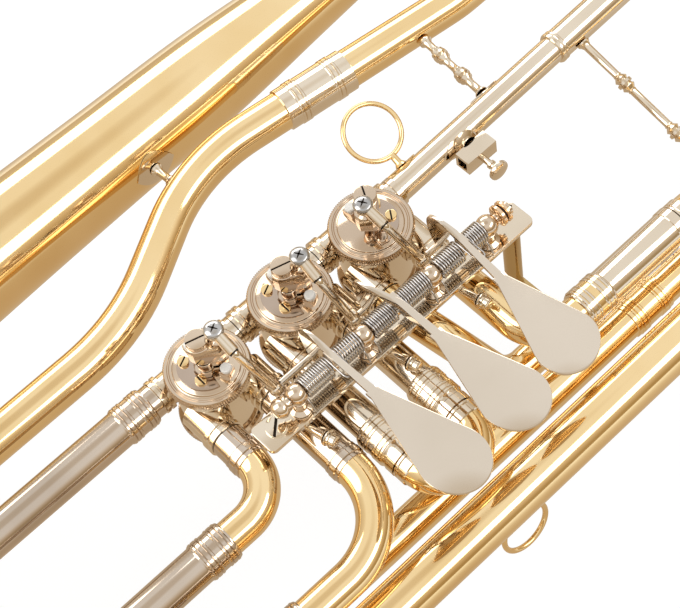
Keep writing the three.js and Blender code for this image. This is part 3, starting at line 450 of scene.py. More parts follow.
near_x, far_x = third_x - port_x + 1.5, third_x + port_x
near_y, far_y = -49.5, -91
near_bend_r, far_bend_r = 17, 30
near_ring_y, far_ring_y = -30.5, -58
third_sleeve_x, third_sleeve_long = -78, 60
third_pipe_end = third_sleeve_x - 1
piece("third_near_knuckle", [
    swept(bent([(near_x, port_end, 0), (near_x, near_y, 0, near_bend_r), (third_pipe_end, near_y, 0)]),
          valve_tube_r, 44, 0),
    swept([Vector((near_x, port_end, 0)), Vector((near_x, near_ring_y + 1, 0))], valve_tube_r + 0.25, 44, 1),
    joint_ring((near_x, near_ring_y, 0), (0, 1, 0), slot=1),
    sleeve_parts((third_sleeve_x, near_y, 0), (-1, 0, 0), third_sleeve_long, 1)],
    "horn", [brass, sleeve_nickel], ["third_near_leg"])
piece("third_far_knuckle", [
    swept(bent([(far_x, port_end, 0), (far_x, far_y, 0, far_bend_r), (third_pipe_end, far_y, 0)]),
          valve_tube_r + 0.1, 44, 0),
    swept([Vector((far_x, port_end, 0)), Vector((far_x, far_ring_y + 1, 0))], valve_tube_r + 0.2, 44, 1),
    joint_ring((far_x, far_ring_y, 0), (0, 1, 0), slot=1),
    sleeve_parts((third_sleeve_x, far_y, 0), (-1, 0, 0), third_sleeve_long, 1)],
    "horn", [brass, sleeve_nickel], ["third_far_leg"])
third_leg_from, third_sleeve_to, third_straight = 94, 138, 6
piece("third_slide_bow", bow_parts((0, near_y, 0), (0, far_y, 0), (-1, 0, 0), third_leg_from,
                                   third_sleeve_to, third_straight),
      "third_slide", [brass, nickel], ["third_slide"])


# The second slide is a short hairpin straight out of the middle valve, with its pipes soldered into the ports.
# Both legs are nickel with two rings, and the small bow is brass.
second_sleeve_y, second_sleeve_long = -55, 18
for side, name, stands_for in ((-1, "second_left_pipe", "second_left_leg"),
                               (1, "second_right_pipe", "second_right_leg")):
    x = side * port_x
    piece(name, [
        swept([Vector((x, port_end, 0)), Vector((x, second_sleeve_y - 1, 0))], valve_tube_r, 44),
        joint_ring((x, near_ring_y, 0), (0, 1, 0)),
        sleeve_parts((x, second_sleeve_y, 0), (0, -1, 0), second_sleeve_long)],
        "horn", [nickel], [stands_for])
second_leg_from, second_sleeve_to, second_straight = 61, 73, 4
piece("second_slide_bow", bow_parts((-port_x, 0, 0), (port_x, 0, 0), (0, -1, 0), second_leg_from,
                                    second_sleeve_to, second_straight),
      "second_slide", [brass, nickel], ["second_slide"])


# The first slide's legs run to the right, one above the other, and its bow stands on edge.
# The upper knuckle is brass from the ring at the valve to the beaded nickel ferrule soldered over its sleeve;
# a lacquered brass band lies over the rings of that ferrule.
first_x = valve_pitch
high_x, low_x = first_x + port_x, first_x - port_x
high_y, high_bend_r = -75.6, 15
low_y, low_z = -67, -24
first_sleeve_x, first_sleeve_long = 73, 51
first_pipe_end = first_sleeve_x + 1
gold_from, gold_to = 73.3, 84.8
piece("first_upper_knuckle", [
    swept(bent([(high_x, port_end, 0), (high_x, high_y, 0, high_bend_r), (first_pipe_end, high_y, 0)]),
          valve_tube_r, 44, 0),
    swept([Vector((high_x, port_end, 0)), Vector((high_x, near_ring_y + 1, 0))], valve_tube_r + 0.25, 44, 1),
    joint_ring((high_x, near_ring_y, 0), (0, 1, 0), slot=1),
    sleeve_parts((first_sleeve_x, high_y, 0), (1, 0, 0), first_sleeve_long, 1),
    swept([Vector((gold_from, high_y, 0)), Vector((gold_to, high_y, 0))], sleeve_r + 0.45, 56, 0)],
    "horn", [brass, nickel], ["first_upper_leg"])
piece("first_lower_knuckle", [
    swept(bent([(low_x, port_end, 0), (low_x, -27, 0, 20), (low_x + 3, -50, 0, 16),
                (first_x + 2, low_y, low_z, 13), (first_pipe_end, low_y, low_z)]), valve_tube_r, 44, 0),
    joint_ring((low_x, -29, 0), (0, 1, 0), slot=1),
    sleeve_parts((first_sleeve_x, low_y, low_z), (1, 0, 0), first_sleeve_long, 1)],
    "horn", [brass, nickel], ["first_lower_leg"])
first_leg_from, first_sleeve_to, first_straight = 92, 124, 3
piece("first_slide_bow", bow_parts((0, high_y, 0), (0, low_y, low_z), (1, 0, 0), first_leg_from,
                                   first_sleeve_to, first_straight),
      "first_slide", [brass, nickel], ["first_slide"])


# The leadpipe is a nickel pipe, soldered into the first valve's port, that rises gently towards its outer end.
# The receiver is turned nickel, soldered over the pipe; it takes the mouthpiece's shank and ends in a collar.
lead_r, lead_rise, lead_start = 5.7, 0.0524, valve_pitch + 20.3
lead_way = Vector((1, 0, lead_rise)).normalized()


def on_lead(x):
    return Vector((x, main_y, lead_rise * (x - lead_start)))


lead_to, receiver_x, receiver_run = 151, 150.3, 135
lead_cuff = lead_r + 0.7
piece("leadpipe_tube", [
    swept([on_lead(lead_start + 0.3), on_lead(lead_to)], lead_r, 48),
    turned([(lead_r, 0), (lead_cuff, 0), (lead_cuff, 2.6), (lead_r, 2.9)], on_lead(lead_start + 0.4), lead_way, 56)],
    "horn", [nickel], ["leadpipe"])
end = receiver_run * math.hypot(1, lead_rise)
ring_r, bead_r, barrel_r, lip_r, mouth_r = lead_r + 1.2, lead_r + 1.1, lead_r + 2, lead_r + 2.6, lead_r + 3
shank_deep = end - 24
piece("mouthpiece_receiver", [turned(
    [(lead_r, 0), (lead_r + 0.9, 0.1), (ring_r, 0.7), (ring_r, 1.5), (lead_r + 0.8, 1.9),
     (bead_r, 2.3), (bead_r, 3.2), (lead_cuff, 3.6), (lead_cuff, end - 45),
     (barrel_r, shank_deep), (barrel_r, end - 8), (lip_r, end - 7.4),
     (lip_r, end - 6.6), (lead_r + 2.1, end - 6), (mouth_r, end - 4.4),
     (mouth_r, end - 0.5), (lip_r, end), (6, end), (5.6, end - 0.6),
     (5.4, shank_deep), (0, shank_deep)], on_lead(receiver_x), lead_way, 72)],
    "horn", [nickel], ["receiver"])


# Each rotor casing is a turned nickel cylinder; short stub pipes and rings, soldered in, join the casings in a row.
# Stubs for the slide stand on the paddle side, stubs of the main line lie on the bell side.
valve_row = [valve_pitch, 0, -valve_pitch]
casing_r = 14.4
stub_ring, stub_waist, stub_ring_y = valve_tube_r + 1, valve_tube_r + 0.5, -17.4
link_r, link_ring_x = valve_tube_r - 0.4, 16.5
for i, x in enumerate(valve_row):
    stubs = [x + (-port_x + 1.5 if i == 2 else -port_x), x + port_x]
    parts = [turned([(casing_r - 0.5, -13.7), (casing_r, -13.2), (casing_r, 11.2), (casing_r - 0.5, 11.7)],
                    (x, 0, 0), (0, 0, 1), 96)]
    for sx in stubs:
        parts.append(swept([Vector((sx, -3, 0)), Vector((sx, -20, 0))], valve_tube_r + 0.3, 44))
        parts.append(turned([(valve_tube_r, -2.6), (stub_ring, -2.4), (stub_ring, -0.6), (stub_waist, -0.2),
                             (stub_waist, 0.2), (stub_ring, 0.6), (stub_ring, 2.2), (valve_tube_r, 2.5)],
                            (sx, stub_ring_y, 0), (0, 1, 0), 56))
    parts.append(swept([Vector((x - 20.2, main_y, 0)), Vector((x + (20 if i == 0 else 20.4), main_y, 0))],
                       link_r, 44))
    for sx in (x - link_ring_x, x + link_ring_x):
        parts.append(turned([(link_r, -2.2), (stub_waist, -2), (stub_waist, -0.5), (valve_tube_r, -0.2),
                             (valve_tube_r, 0.2), (stub_waist, 0.5), (stub_waist, 2), (link_r, 2.2)],
                            (sx, main_y, 0), (1, 0, 0), 56))
    piece(f"rotor_casing_{i + 1}", parts, "horn", [nickel], [f"valve_casing_{i + 1}"])


# Caps screw on by hand, so their rims are knurled. On the upper one lies a crescent-shaped stop plate,
# held by two slotted brass screws, with two cups whose bumpers stop the rotor's arm.
# This nickel is darker than the nickel silver elsewhere. It is partly the metal's own tone and partly painted shade for
# the dim reflections on the caps' flat tops.
shaded_cap_nickel = metal("shaded_cap_nickel", (0.70, 0.57, 0.43), (0.58, 0.45, 0.33), 0.07, 0.07, coat=0.3)
plate_nickel = metal("stop_plate_nickel", (0.56, 0.45, 0.36), (0.46, 0.36, 0.28), 0.08, 0.06, coat=0.3)
cap_r, plate_top = 16.5, 16.3
rim_top, groove = 15.6, 15.42
cap_sides, knurl_deep = 220, 0.45
bumper_white = metal("bumper_white", (0.87, 0.85, 0.80), (0.80, 0.78, 0.72), 0.45, 0.2, metallic=0.0, strength=0.2)
# Near-black painted shade: slot floors, screw recesses and grooves are painted dark where shade falls.
painted_gap_shade = metal("painted_recess_shade", (0.045, 0.035, 0.028), (0.03, 0.024, 0.02), 0.5, 0.2, strength=0.2)
arm_angle = [math.radians(a) for a in (225, -35, -35)]
turn_side = [-1, 1, 1]
bumper_r, bumper_reach, cup_half = 2.1, 8.8, 2.3


def shaped(maker, slot=0):
    bm = bmesh.new()
    maker(bm)
    bmesh.ops.recalc_face_normals(bm, faces=bm.faces)
    bm.verts.index_update()
    made = [v.co.copy() for v in bm.verts], [[v.index for v in f.verts] for f in bm.faces], slot
    bm.free()
    return made


def slab(outline, low, high, bevel=0.0, slot=0, place=None):
    def maker(bm):
        base = bm.faces.new([bm.verts.new((x, y, low)) for x, y in outline])
        top = bmesh.ops.extrude_face_region(bm, geom=[base])["geom"]
        bmesh.ops.translate(bm, verts=[v for v in top if isinstance(v, bmesh.types.BMVert)], vec=(0, 0, high - low))
        if bevel:
            bmesh.ops.recalc_face_normals(bm, faces=bm.faces)
            flat = [e for e in bm.edges if abs(e.verts[0].co.z - e.verts[1].co.z) < 1e-6]
            bmesh.ops.bevel(bm, geom=flat, offset=bevel, segments=2, affect="EDGES", profile=0.6)
        if place is not None:
            bmesh.ops.transform(bm, matrix=place, verts=bm.verts)
    return shaped(maker, slot)


def slotted(at, r, low, high, angle, slot_wide=0.9, slot_deep=0.9, slot=0, dark=2):
    # The slot's floor is a disc in the shade slot, painted shade.
    parts = [turned([(r, low), (r, high - slot_deep)], (at[0], at[1], 0), (0, 0, 1), 40, slot),
             turned([(0, high - slot_deep), (r - 0.1, high - slot_deep)], (at[0], at[1], 0), (0, 0, 1), 40, dark)]
    for half in (0, 1):
        outline = []
        lean = math.asin(slot_wide / 2 / r)
        for k in range(19):
            a = lean + (math.pi - 2 * lean) * k / 18 + half * math.pi
            outline.append((r * math.cos(a), r * math.sin(a)))
        spin = Matrix.Translation((at[0], at[1], 0)) @ Matrix.Rotation(angle, 4, "Z")
        parts.append(slab(outline, high - slot_deep - 0.05, high, 0.22, slot, spin))
    return parts


def rounded(x0, x1, y0, y1, r, n=8):
    made = []
    for cx, cy, start in ((x1 - r, y1 - r, 0), (x0 + r, y1 - r, 90), (x0 + r, y0 + r, 180), (x1 - r, y0 + r, 270)):
        for k in range(n + 1):
            a = math.radians(start + 90 * k / n)
            made.append((cx + r * math.cos(a), cy + r * math.sin(a)))
    return made


def arc(r, start, end, n=24):
    angles = [math.radians(start + (end - start) * k / n) for k in range(n + 1)]
    return [(r * math.cos(a), r * math.sin(a)) for a in angles]


stop_plates = [((-100, 52), ((8.1, -29), (8.0, 34))), ((112, 258), ((8.3, 130), (7.2, -144))),
               ((112, 258), ((8.3, 130), (7.2, -144)))]
for i, x in enumerate(valve_row):
    here = Matrix.Translation((x, 0, 0))
    parts = [turned([(12, 12), (cap_r - 0.5, 12), (cap_r - 0.1, 12.35), (cap_r, 12.7), (cap_r, 14.9),
                     (cap_r - 0.1, 15.2), (15.8, rim_top), (14.8, rim_top), (14.62, groove), (14.44, rim_top),
                     (14.1, rim_top), (13.92, groove), (13.74, rim_top), (12.9, rim_top), (12.7, 15.75),
                     (12.55, 16.15), (12.35, plate_top), (0, plate_top)],
                    (x, 0, 0), (0, 0, 1), cap_sides, 0, ({2, 3, 4, 5}, knurl_deep))]
    (first, last), screws = stop_plates[i]
    parts.append(slab(arc(10.8, first, last) + arc(4.4, last, first), plate_top - 0.1, plate_top + 1, 0.18, 4, here))
    for reach, angle in screws:
        at = (x + reach * math.cos(math.radians(angle)), reach * math.sin(math.radians(angle)))
        parts += slotted(at, 2.2, plate_top + 0.9, plate_top + 2.2, angle * 3, 0.55, 0.6, 3)
    swing = math.asin(4.9 / 9)
    for play, turn in enumerate((-turn_side[i] * swing, turn_side[i] * (math.pi / 2 + swing))):
        angle = arm_angle[i] + turn
        at = (x + bumper_reach * math.cos(angle), bumper_reach * math.sin(angle), 0)
        tall = 2.2 if i == 0 and not play else 4.6
        cup = Matrix.Translation(at) @ Matrix.Rotation(angle, 4, "Z")
        parts.append(slab(rounded(-cup_half, cup_half, -cup_half, cup_half, 0.7, 4), plate_top - 0.1,
                          plate_top + tall - 1.4, 0.2, 0, cup))
        parts.append(turned([(bumper_r, plate_top), (bumper_r, plate_top + tall - 0.4),
                             (bumper_r - 0.4, plate_top + tall), (0, plate_top + tall)], at, (0, 0, 1), 36,
                            0 if tall < 3 else 1))
    piece(f"screw_cap_upper_{i + 1}", parts, "horn",
          [shaded_cap_nickel, bumper_white, painted_gap_shade, brass, plate_nickel], [f"upper_cap_{i + 1}"])
    piece(f"screw_cap_lower_{i + 1}", [turned(
        [(0, -20.5), (6.9, -20.5), (7.5, -20), (7.5, -18.2), (8.2, -17.7), (15.2, -17.3), (16.2, -16.9), (cap_r, -16.4),
         (cap_r, -14.6), (cap_r - 0.4, -14.1), (13, -14)], (x, 0, 0), (0, 0, 1), 200, 0, ({7, 8}, 0.32))],
        f"bottom_cap_{i + 1}", [shaded_cap_nickel], [f"bottom_cap_{i + 1}"])


# The rotor's nickel spindle comes up through the cap. A squarish arm is clamped on it under a big slotted screw;
# its far end carries the rod's stud, and a flat wing below it runs between the bumpers.
arm_r, arm_low, arm_high = 7, 24, 32.8
spindle_r, neck_r = 3.1, 2.9
for i, x in enumerate(valve_row):
    tip = (x + arm_r * math.cos(arm_angle[i]), arm_r * math.sin(arm_angle[i]))
    spin = Matrix.Translation((x, 0, 0)) @ Matrix.Rotation(arm_angle[i], 4, "Z")
    parts = [turned([(spindle_r, plate_top + 0.3), (spindle_r, 20.6), (neck_r, 20.8)], (x, 0, 0), (0, 0, 1), 56),
             # The groove in the spindle's neck is painted shade.
             turned([(neck_r, 20.8), (2.7, 21.2), (neck_r, 21.6)], (x, 0, 0), (0, 0, 1), 56, 2),
             turned([(neck_r, 21.6), (spindle_r, 21.8), (spindle_r, 24.4)], (x, 0, 0), (0, 0, 1), 56)]
    body = [(-4.4, -2.2), (-2.4, -4.0), (6.8, -4.0), (8.6, -2.4), (8.6, 2.4), (6.8, 4.0), (-2.4, 4.0), (-4.4, 2.2)]
    parts.append(slab(body, arm_low, arm_high, 0.45, 0, spin))
    parts.append(turned([(4.4, 32.7), (4.4, 33.1), (4.1, 33.3)], (x, 0, 0), (0, 0, 1), 56))
    parts += slotted((x, 0), 4.2, 33.2, 36, arm_angle[i] + 0.3, 0.6, 0.7)
    wing = [(1, -1.6), (bumper_reach - 1.6, -1.6), (bumper_reach - 0.5, -1), (bumper_reach, 0),
            (bumper_reach - 0.5, 1), (bumper_reach - 1.6, 1.6), (1, 1.6)]
    parts.append(slab(wing, plate_top + 0.9, plate_top + 4.2, 0.25, 0, spin))
    parts.append(turned([(2.6, 32.6), (2.6, 33.4), (1.9, 33.9), (1.3, 34.2), (1.3, 35.9), (0, 35.9)],
                        (*tip, 0), (0, 0, 1), 32))
    piece(f"rotor_spindle_{i + 1}", parts, f"rotor_{i + 1}",
          [shaded_cap_nickel, bumper_white, painted_gap_shade], [f"rotor_{i + 1}"])


# Connecting rods tie the stop arms to the levers. Each has a ball socket closed by a steel cross-head screw,
# a thick threaded sleeve, a thin rod cranked over the arm, and a small ball at the lever's foot.
screw_steel = metal("screw_steel", (0.50, 0.49, 0.48), (0.36, 0.35, 0.34), 0.16, 0.08)
foot_x, foot_y, foot_z = [44.3, 9.6, -29], -24, 12
socket_z, crank_at, crank_by = 39.4, 12.5, Vector((-2.2, -3, 6))
rod_r, foot_ball_r = 1.65, 2.6
for i, x in enumerate(valve_row):
    tip = Vector((x + arm_r * math.cos(arm_angle[i]), arm_r * math.sin(arm_angle[i]), 0))
    top, foot = tip + Vector((0, 0, socket_z)), Vector((foot_x[i], foot_y, foot_z))
    bend = top + (foot - top).normalized() * crank_at + crank_by
    way = (bend - top).normalized()
    parts = [turned([(0, 36.2), (2.4, 36.2), (3.1, 36.8), (3.45, 37.8), (3.45, 39.2), (3.35, 39.4)],
                    tip, (0, 0, 1), 48),
             turned([(3.35, 39.2), (3.7, 39.4), (3.75, 39.9), (3.5, 40.5), (2.9, 41), (1.8, 41.33), (0, 41.4)],
                    tip, (0, 0, 1), 48, 2)]
    # The cross recess in the screw head is painted shade.
    for turn in (0.5, 0.5 + math.pi / 2):
        parts.append(slab([(-1.9, -0.12), (-0.5, -0.34), (0.5, -0.34), (1.9, -0.12), (1.9, 0.12), (0.5, 0.34),
                           (-0.5, 0.34), (-1.9, 0.12)], 40.9, 41.43, 0, 1,
                          Matrix.Translation((tip.x, tip.y, 0)) @ Matrix.Rotation(turn, 4, "Z")))
    parts.append(turned([(1.9, 2.8), (2.3, 3.2), (2.3, 10.2), (2.0, 10.5)], top, way, 40))
    # The groove at the sleeve's end is painted shade.
    parts.append(turned([(2.0, 10.5), (1.85, 10.6), (1.85, 11), (1.6, 11.1)], top, way, 40, 1))
    parts.append(swept(bent([tuple(top + way * 2), (*bend, 3), tuple(foot)], 0.2), rod_r, 24))
    parts.append(turned([(foot_ball_r * math.sin(a), -foot_ball_r * math.cos(a))
                         for a in [math.pi * k / 16 for k in range(17)]], foot, foot - bend, 32))
    piece(f"connecting_rod_{i + 1}", parts, f"rod_{i + 1}",
          [nickel, painted_gap_shade, screw_steel], [f"rod_{i + 1}"])


# A lever is a nickel plate set on edge: a filled hook that holds the rod's foot, a narrow neck over the axle and,
# soldered to its end, a drop-shaped finger paddle. A drilled hub under the neck turns on the axle.
lever_nickel = metal("lever_nickel", (0.73, 0.64, 0.53), (0.68, 0.59, 0.48), 0.07, 0.06, coat=0.3)
axle_y, axle_z = -36, 23
lever_x, hook_shift = [54.2, 20.6, -10.6], [-0.8, -4.6, 0]
paddle_lean, paddle_reach = [0.115, 0.015, 0], [0, -2.2, -3.7]
paddle_start, paddle_z, paddle_centre, paddle_r, paddle_root = -60, 30.4, -94.5, 12.4, 2.6
lever_thick, lever_wide = 1.7, 4.6
hub_r, hub_edge_r, hub_bore_r = 3.3, 3.0, 2.25
stud_y, stud_z, stud_r = -23.1, 11.8, 1.5
paddle_rise, blade_half = 3.4, 1.2
hook_line = [(-23.4, 10.4), (-21.4, 14), (-19.9, 18.5), (-19.4, 24), (-21.2, 28.4), (-26.5, 30.2), (-33, 29.4),
             (-40, 29.1), (paddle_start, paddle_z)]
on_edge = Matrix(((0, 0, 1, 0), (1, 0, 0, 0), (0, 1, 0, 0), (0, 0, 0, 1)))


def unit(t):
    return min(1, max(0, t))


def set_on(part, i):
    verts, faces, slot = part
    moved = []
    for v in verts:
        wide = 1 + 0.35 * unit((axle_y - v.y) / 20) - 0.5 * unit((v.y + 32) / 8) if abs(v.x) < 1.3 else 1
        x = v.x * wide + paddle_lean[i] * min(0, v.y - axle_y - 3) + hook_shift[i] * unit((v.y - axle_y + 3) / 14)
        y = v.y + paddle_reach[i] * max(0, (paddle_start - v.y) / (paddle_start - paddle_centre))
        moved.append(Vector((x + lever_x[i], y, v.z)))
    return moved, faces, slot


for i in range(3):
    line = [Vector(p) for p in through(hook_line, 8)]
    outer, inner_edge = [], []
    for k, p in enumerate(line):
        way = (line[min(len(line) - 1, k + 1)] - line[max(0, k - 1)]).normalized() * (lever_thick / 2)
        outer.append((p.x + way.y, p.y - way.x))
        if k == 0 or p.x < axle_y + 5:
            inner_edge.append((p.x - way.y, p.y + way.x))
    blade = slab(outer + inner_edge[::-1], -blade_half, blade_half, 0.22, 0, on_edge)
    taper = math.asin((paddle_r - paddle_root) / (paddle_start - paddle_centre))
    outline = [(paddle_root, 3), (-paddle_root, 3), (-paddle_root, 0)]
    for k in range(61):
        a = math.pi - taper + (math.pi + 2 * taper) * k / 60
        outline.append((paddle_r * math.cos(a), paddle_centre - paddle_start + paddle_r * math.sin(a)))
    outline.append((paddle_root, 0))
    tilt = -math.atan(paddle_rise / (paddle_start - paddle_centre))
    leaf = slab(outline, -lever_thick / 2, lever_thick / 2, 0.42, 0,
                Matrix.Translation((0, paddle_start, paddle_z)) @ Matrix.Rotation(tilt, 4, "X"))
    half = lever_wide / 2
    hub = turned([(hub_bore_r, 0), (hub_edge_r, 0), (hub_r, 0.3), (hub_r, lever_wide - 0.3),
                  (hub_edge_r, lever_wide), (hub_bore_r, lever_wide)],
                 (lever_x[i] - half, axle_y, axle_z), (1, 0, 0), 48)
    web = slab([(-1.5, -2.4), (1.5, -2.4), (1.5, 2.4), (-1.5, 2.4)], axle_z + 2.6, axle_z + 6.1,
               0.2, 0, Matrix.Translation((lever_x[i], axle_y, 0)))
    stud = swept([Vector((foot_x[i] + 2.9, stud_y, stud_z)),
                  Vector((lever_x[i] + hook_shift[i] + 1, stud_y, stud_z))], stud_r, 28)
    piece(f"finger_lever_{i + 1}", [set_on(blade, i), set_on(leaf, i), hub, web, stud],
          f"lever_{i + 1}", [lever_nickel], [f"lever_{i + 1}"])


# One long axle carries all three levers. It stands in four turned ball posts, screwed down on a nickel plate
# with rounded ends; a domed nut closes it on the left and a slotted collar screw on the right.
collar_gold = metal("collar_gold", (0.86, 0.64, 0.42), (0.74, 0.51, 0.31), 0.10, 0.05)
axle_r, axle_from, axle_to = 1.9, -35, 75
nut_at, collar_at = (-39, axle_y, axle_z), (71.6, axle_y, axle_z)
collar_slot = Matrix.Rotation(math.pi / 2, 4, "Y") @ Matrix.Rotation(0.6, 4, "Z")
piece("lever_axle", [
    swept([Vector((axle_from, axle_y, axle_z)), Vector((axle_to, axle_y, axle_z))], axle_r, 32),
    turned([(0, 0), (1.6, 0.1), (2.6, 0.6), (3.4, 1.6), (3.9, 2.9), (3.95, 3.8), (3.5, 4.9), (3.2, 5.3), (3.2, 6.2),
            (1.8, 6.2)], nut_at, (1, 0, 0), 48),
    turned([(axle_r, 0), (3.9, 0.1), (4.4, 0.5), (4.4, 1.6), (4, 2), (3.6, 2.1)], collar_at, (1, 0, 0), 48, 1),
    # The groove between the collar's rims, and the screw slot below, are painted shade.
    turned([(3.6, 2.1), (3.5, 2.2), (3.5, 2.6), (3.6, 2.7)], collar_at, (1, 0, 0), 48, 2),
    turned([(3.6, 2.7), (4, 2.8), (4.4, 3.2), (4.4, 4.1), (3.9, 4.5), (axle_r, 4.6)], collar_at, (1, 0, 0), 48, 1),
    turned([(2.6, 4.6), (2.9, 4.8), (2.9, 5.8), (2.2, 6.3), (0, 6.5)], collar_at, (1, 0, 0), 40),
    slab([(-2.6, -0.3), (2.6, -0.3), (2.6, 0.3), (-2.6, 0.3)], 5.9, 6.55, 0, 2,
         Matrix.Translation(collar_at) @ collar_slot)],
    "horn", [shaded_cap_nickel, collar_gold, painted_gap_shade], ["axle"])
orb_r, orb_cut, orb_bore = 4.3, 0.53, 2.25
for x, name, stands_for in ((-28, "ball_post_left", "post_a"), (4.4, "ball_post_mid_left", "post_b"),
                            (38.2, "ball_post_mid_right", "post_c"), (66.6, "ball_post_right", "post_d")):
    orb = [(orb_r * math.sin(a), -orb_r * math.cos(a))
           for a in [orb_cut + (math.pi - 2 * orb_cut) * k / 18 for k in range(19)]]
    parts = [turned([(0, 12.5), (4.1, 12.5), (4.3, 12.8), (4.3, 13.3), (3.6, 13.8), (2.8, 14.4), (2.5, 15.6),
                     (2.4, 17.6), (3.0, 18.4), (3.0, 18.9), (2.6, 19.2), (2.4, 20.1)], (x, axle_y, 0), (0, 0, 1), 48),
             turned([(orb_bore, orb[0][1])] + orb + [(orb_bore, orb[-1][1]), (orb_bore, orb[0][1])],
                    (x, axle_y, axle_z), (1, 0, 0), 56)]
    piece(name, parts, "horn", [shaded_cap_nickel], [stands_for])


# Lever plate: a nickel bar with rounded corners under the axle, with one slotted screw at its left.
# A round brass pillar carries its right end, and turned stays tie it to the slide pipes.
bed_low, bed_high, bed_corner = 10, 12.2, 2.4
bed_screw_x = -39.4
piece("lever_bed", [slab(rounded(-47, 85, -42, -29, bed_corner), bed_low, bed_high, 0.3)]
      + slotted((bed_screw_x, axle_y + 0.6), 4.0, 12, 14, 0.75, 1.0, 1.0),
      "horn", [nickel, bumper_white, painted_gap_shade], ["lever_plate"])
pillar_brass = metal("pillar_brass", (0.58, 0.41, 0.19), (0.46, 0.31, 0.13), 0.10, 0.05)
pillar_r, pillar_y, pillar_low, pillar_tall, foot_thick = 3.5, -38, -25.3, 35, 2.6
piece("bed_pillar", [
    turned([(0, 0), (pillar_r, 0), (pillar_r, 34.7), (3.2, pillar_tall), (0, pillar_tall)],
           (76, pillar_y, pillar_low), (0, 0, 1), 56),
    slab(rounded(73.5, 78.5, -58.6, pillar_y, 0.8), pillar_low, pillar_low + foot_thick, 0.3)],
    "horn", [pillar_brass], ["plate_pillar"])
stay_low_y, stay_low_z, stay_high_y, stay_high_z = -40.4, 8.2, -52, 10.3
for i, x in enumerate(valve_row):
    start = Vector((x + (5.5, 10.5, 10.5)[i], stay_low_y, stay_low_z))
    end = Vector((x + (7, 12.5, 12.5)[i], stay_high_y, stay_high_z))
    way = (end - start).normalized()
    knob, tip = start + way * 9.7, start + way * 11.3
    piece(f"bed_stay_{i + 1}", [
        turned([(0, 0), (1.4, 0.1), (1.4, 8.4), (2.3, 9), (2.5, 9.4), (2.5, 9.7)], start, way, 40),
        turned([(2.5, 0), (3.1, 0.3), (3.2, 0.5), (2.7, 0.6)], knob, way, 40),
        # The groove in the knob is painted shade.
        turned([(2.7, 0.6), (2.7, 1.0)], knob, way, 40, 1),
        turned([(2.7, 1.0), (3.2, 1.1), (3.1, 1.3), (2.5, 1.6)], knob, way, 40),
        turned([(2.4, 0), (2.7, 0.3), (2.7, 1.0), (2.3, 1.3), (2.2, 3), (1.8, 3.3), (0, 3.4)], tip, way, 40)],
        "horn", [nickel, painted_gap_shade], [f"plate_stay_{i + 1}"])


# Return springs are single steel wires, wound close round the axle on both sides of each lever.
# Their feet rest on the plate, and the loop between the two coils lies under the lever's neck and lifts it.
spring_steel = metal("spring_wire", (0.58, 0.56, 0.54), (0.42, 0.40, 0.39), 0.16, 0.10)
coil_r, wire_r, coil_pitch, coil_steps = 4.1, 0.37, 1.0, 20
foot_out, foot_in = (axle_y - 5.2, 13.1), (axle_y - 3.4, 16.6)
loop_out, loop_corner = 10.5, 1.6
runs = (((40.9, 52.2), (56.2, 63.9)), ((7.1, 18.6), (22.6, 35.5)), ((-25.3, -12.6), (-8.6, 1.7)))
for i, (left, right_run) in enumerate(runs):
    line = [Vector((left[0], *foot_out)), Vector((left[0], *foot_in))]
    for run, way in ((left, 1), (right_run, -1)):
        turns = math.floor((run[1] - run[0]) / coil_pitch - 0.5) + 0.5
        steps = round(turns * coil_steps)
        for k in range(steps + 1):
            a = 2 * math.pi * k / coil_steps
            line.append(Vector((run[0] + (run[1] - run[0]) * k / steps, axle_y + coil_r * math.sin(a),
                                axle_z - way * coil_r * math.cos(a))))
        if way == 1:
            top, y, near, far = axle_z + coil_r, axle_y - loop_out, left[1], right_run[0]
            line += [Vector((near, y + loop_corner, top)), Vector((near + 0.4, y + 0.4, top)),
                     Vector((near + loop_corner, y, top)), Vector((far - loop_corner, y, top)),
                     Vector((far - 0.4, y + 0.4, top)), Vector((far, y + loop_corner, top))]
    line += [Vector((right_run[1], *foot_in)), Vector((right_run[1], *foot_out))]
    piece(f"return_spring_{i + 1}", [swept(line, wire_r, 10)], "horn", [spring_steel], [f"spring_{i + 1}"], 60)


# Braces are turned nickel balusters with two swells each, soldered between two tubes.
# A saddle is a lens of nickel sheet, bent to the tube that it lies on and soldered there to spread the strain.
def saddle(at, axis, r, facing, long, wide, slot=0, thick=0.5):
    axis = Vector(axis).normalized()
    out = Vector(facing)
    out = (out - axis * out.dot(axis)).normalized()
    side = out.cross(axis)
    verts, faces, rows, cols = [], [], 24, 12
    for layer in (r + 0.05, r + thick):
        for p in range(rows + 1):
            t = -1 + 2 * p / rows
            reach = wide / 2 * (1 - t * t)
            for q in range(cols + 1):
                s = (-1 + 2 * q / cols) * reach
                a = s / r
                verts.append(Vector(at) + axis * (t * long / 2) + (out * math.cos(a) + side * math.sin(a)) * layer)
    w = cols + 1
    size = (rows + 1) * w
    for p in range(rows):
        for q in range(cols):
            a = p * w + q
            faces.append([a, a + w, a + w + 1, a + 1])
            faces.append([size + a, size + a + 1, size + a + w + 1, size + a + w])
    for p in range(rows):
        for q in (0, cols):
            a, b = p * w + q, (p + 1) * w + q
            faces.append([a, b, size + b, size + a] if q == cols else [b, a, size + a, size + b])
    return verts, faces, slot


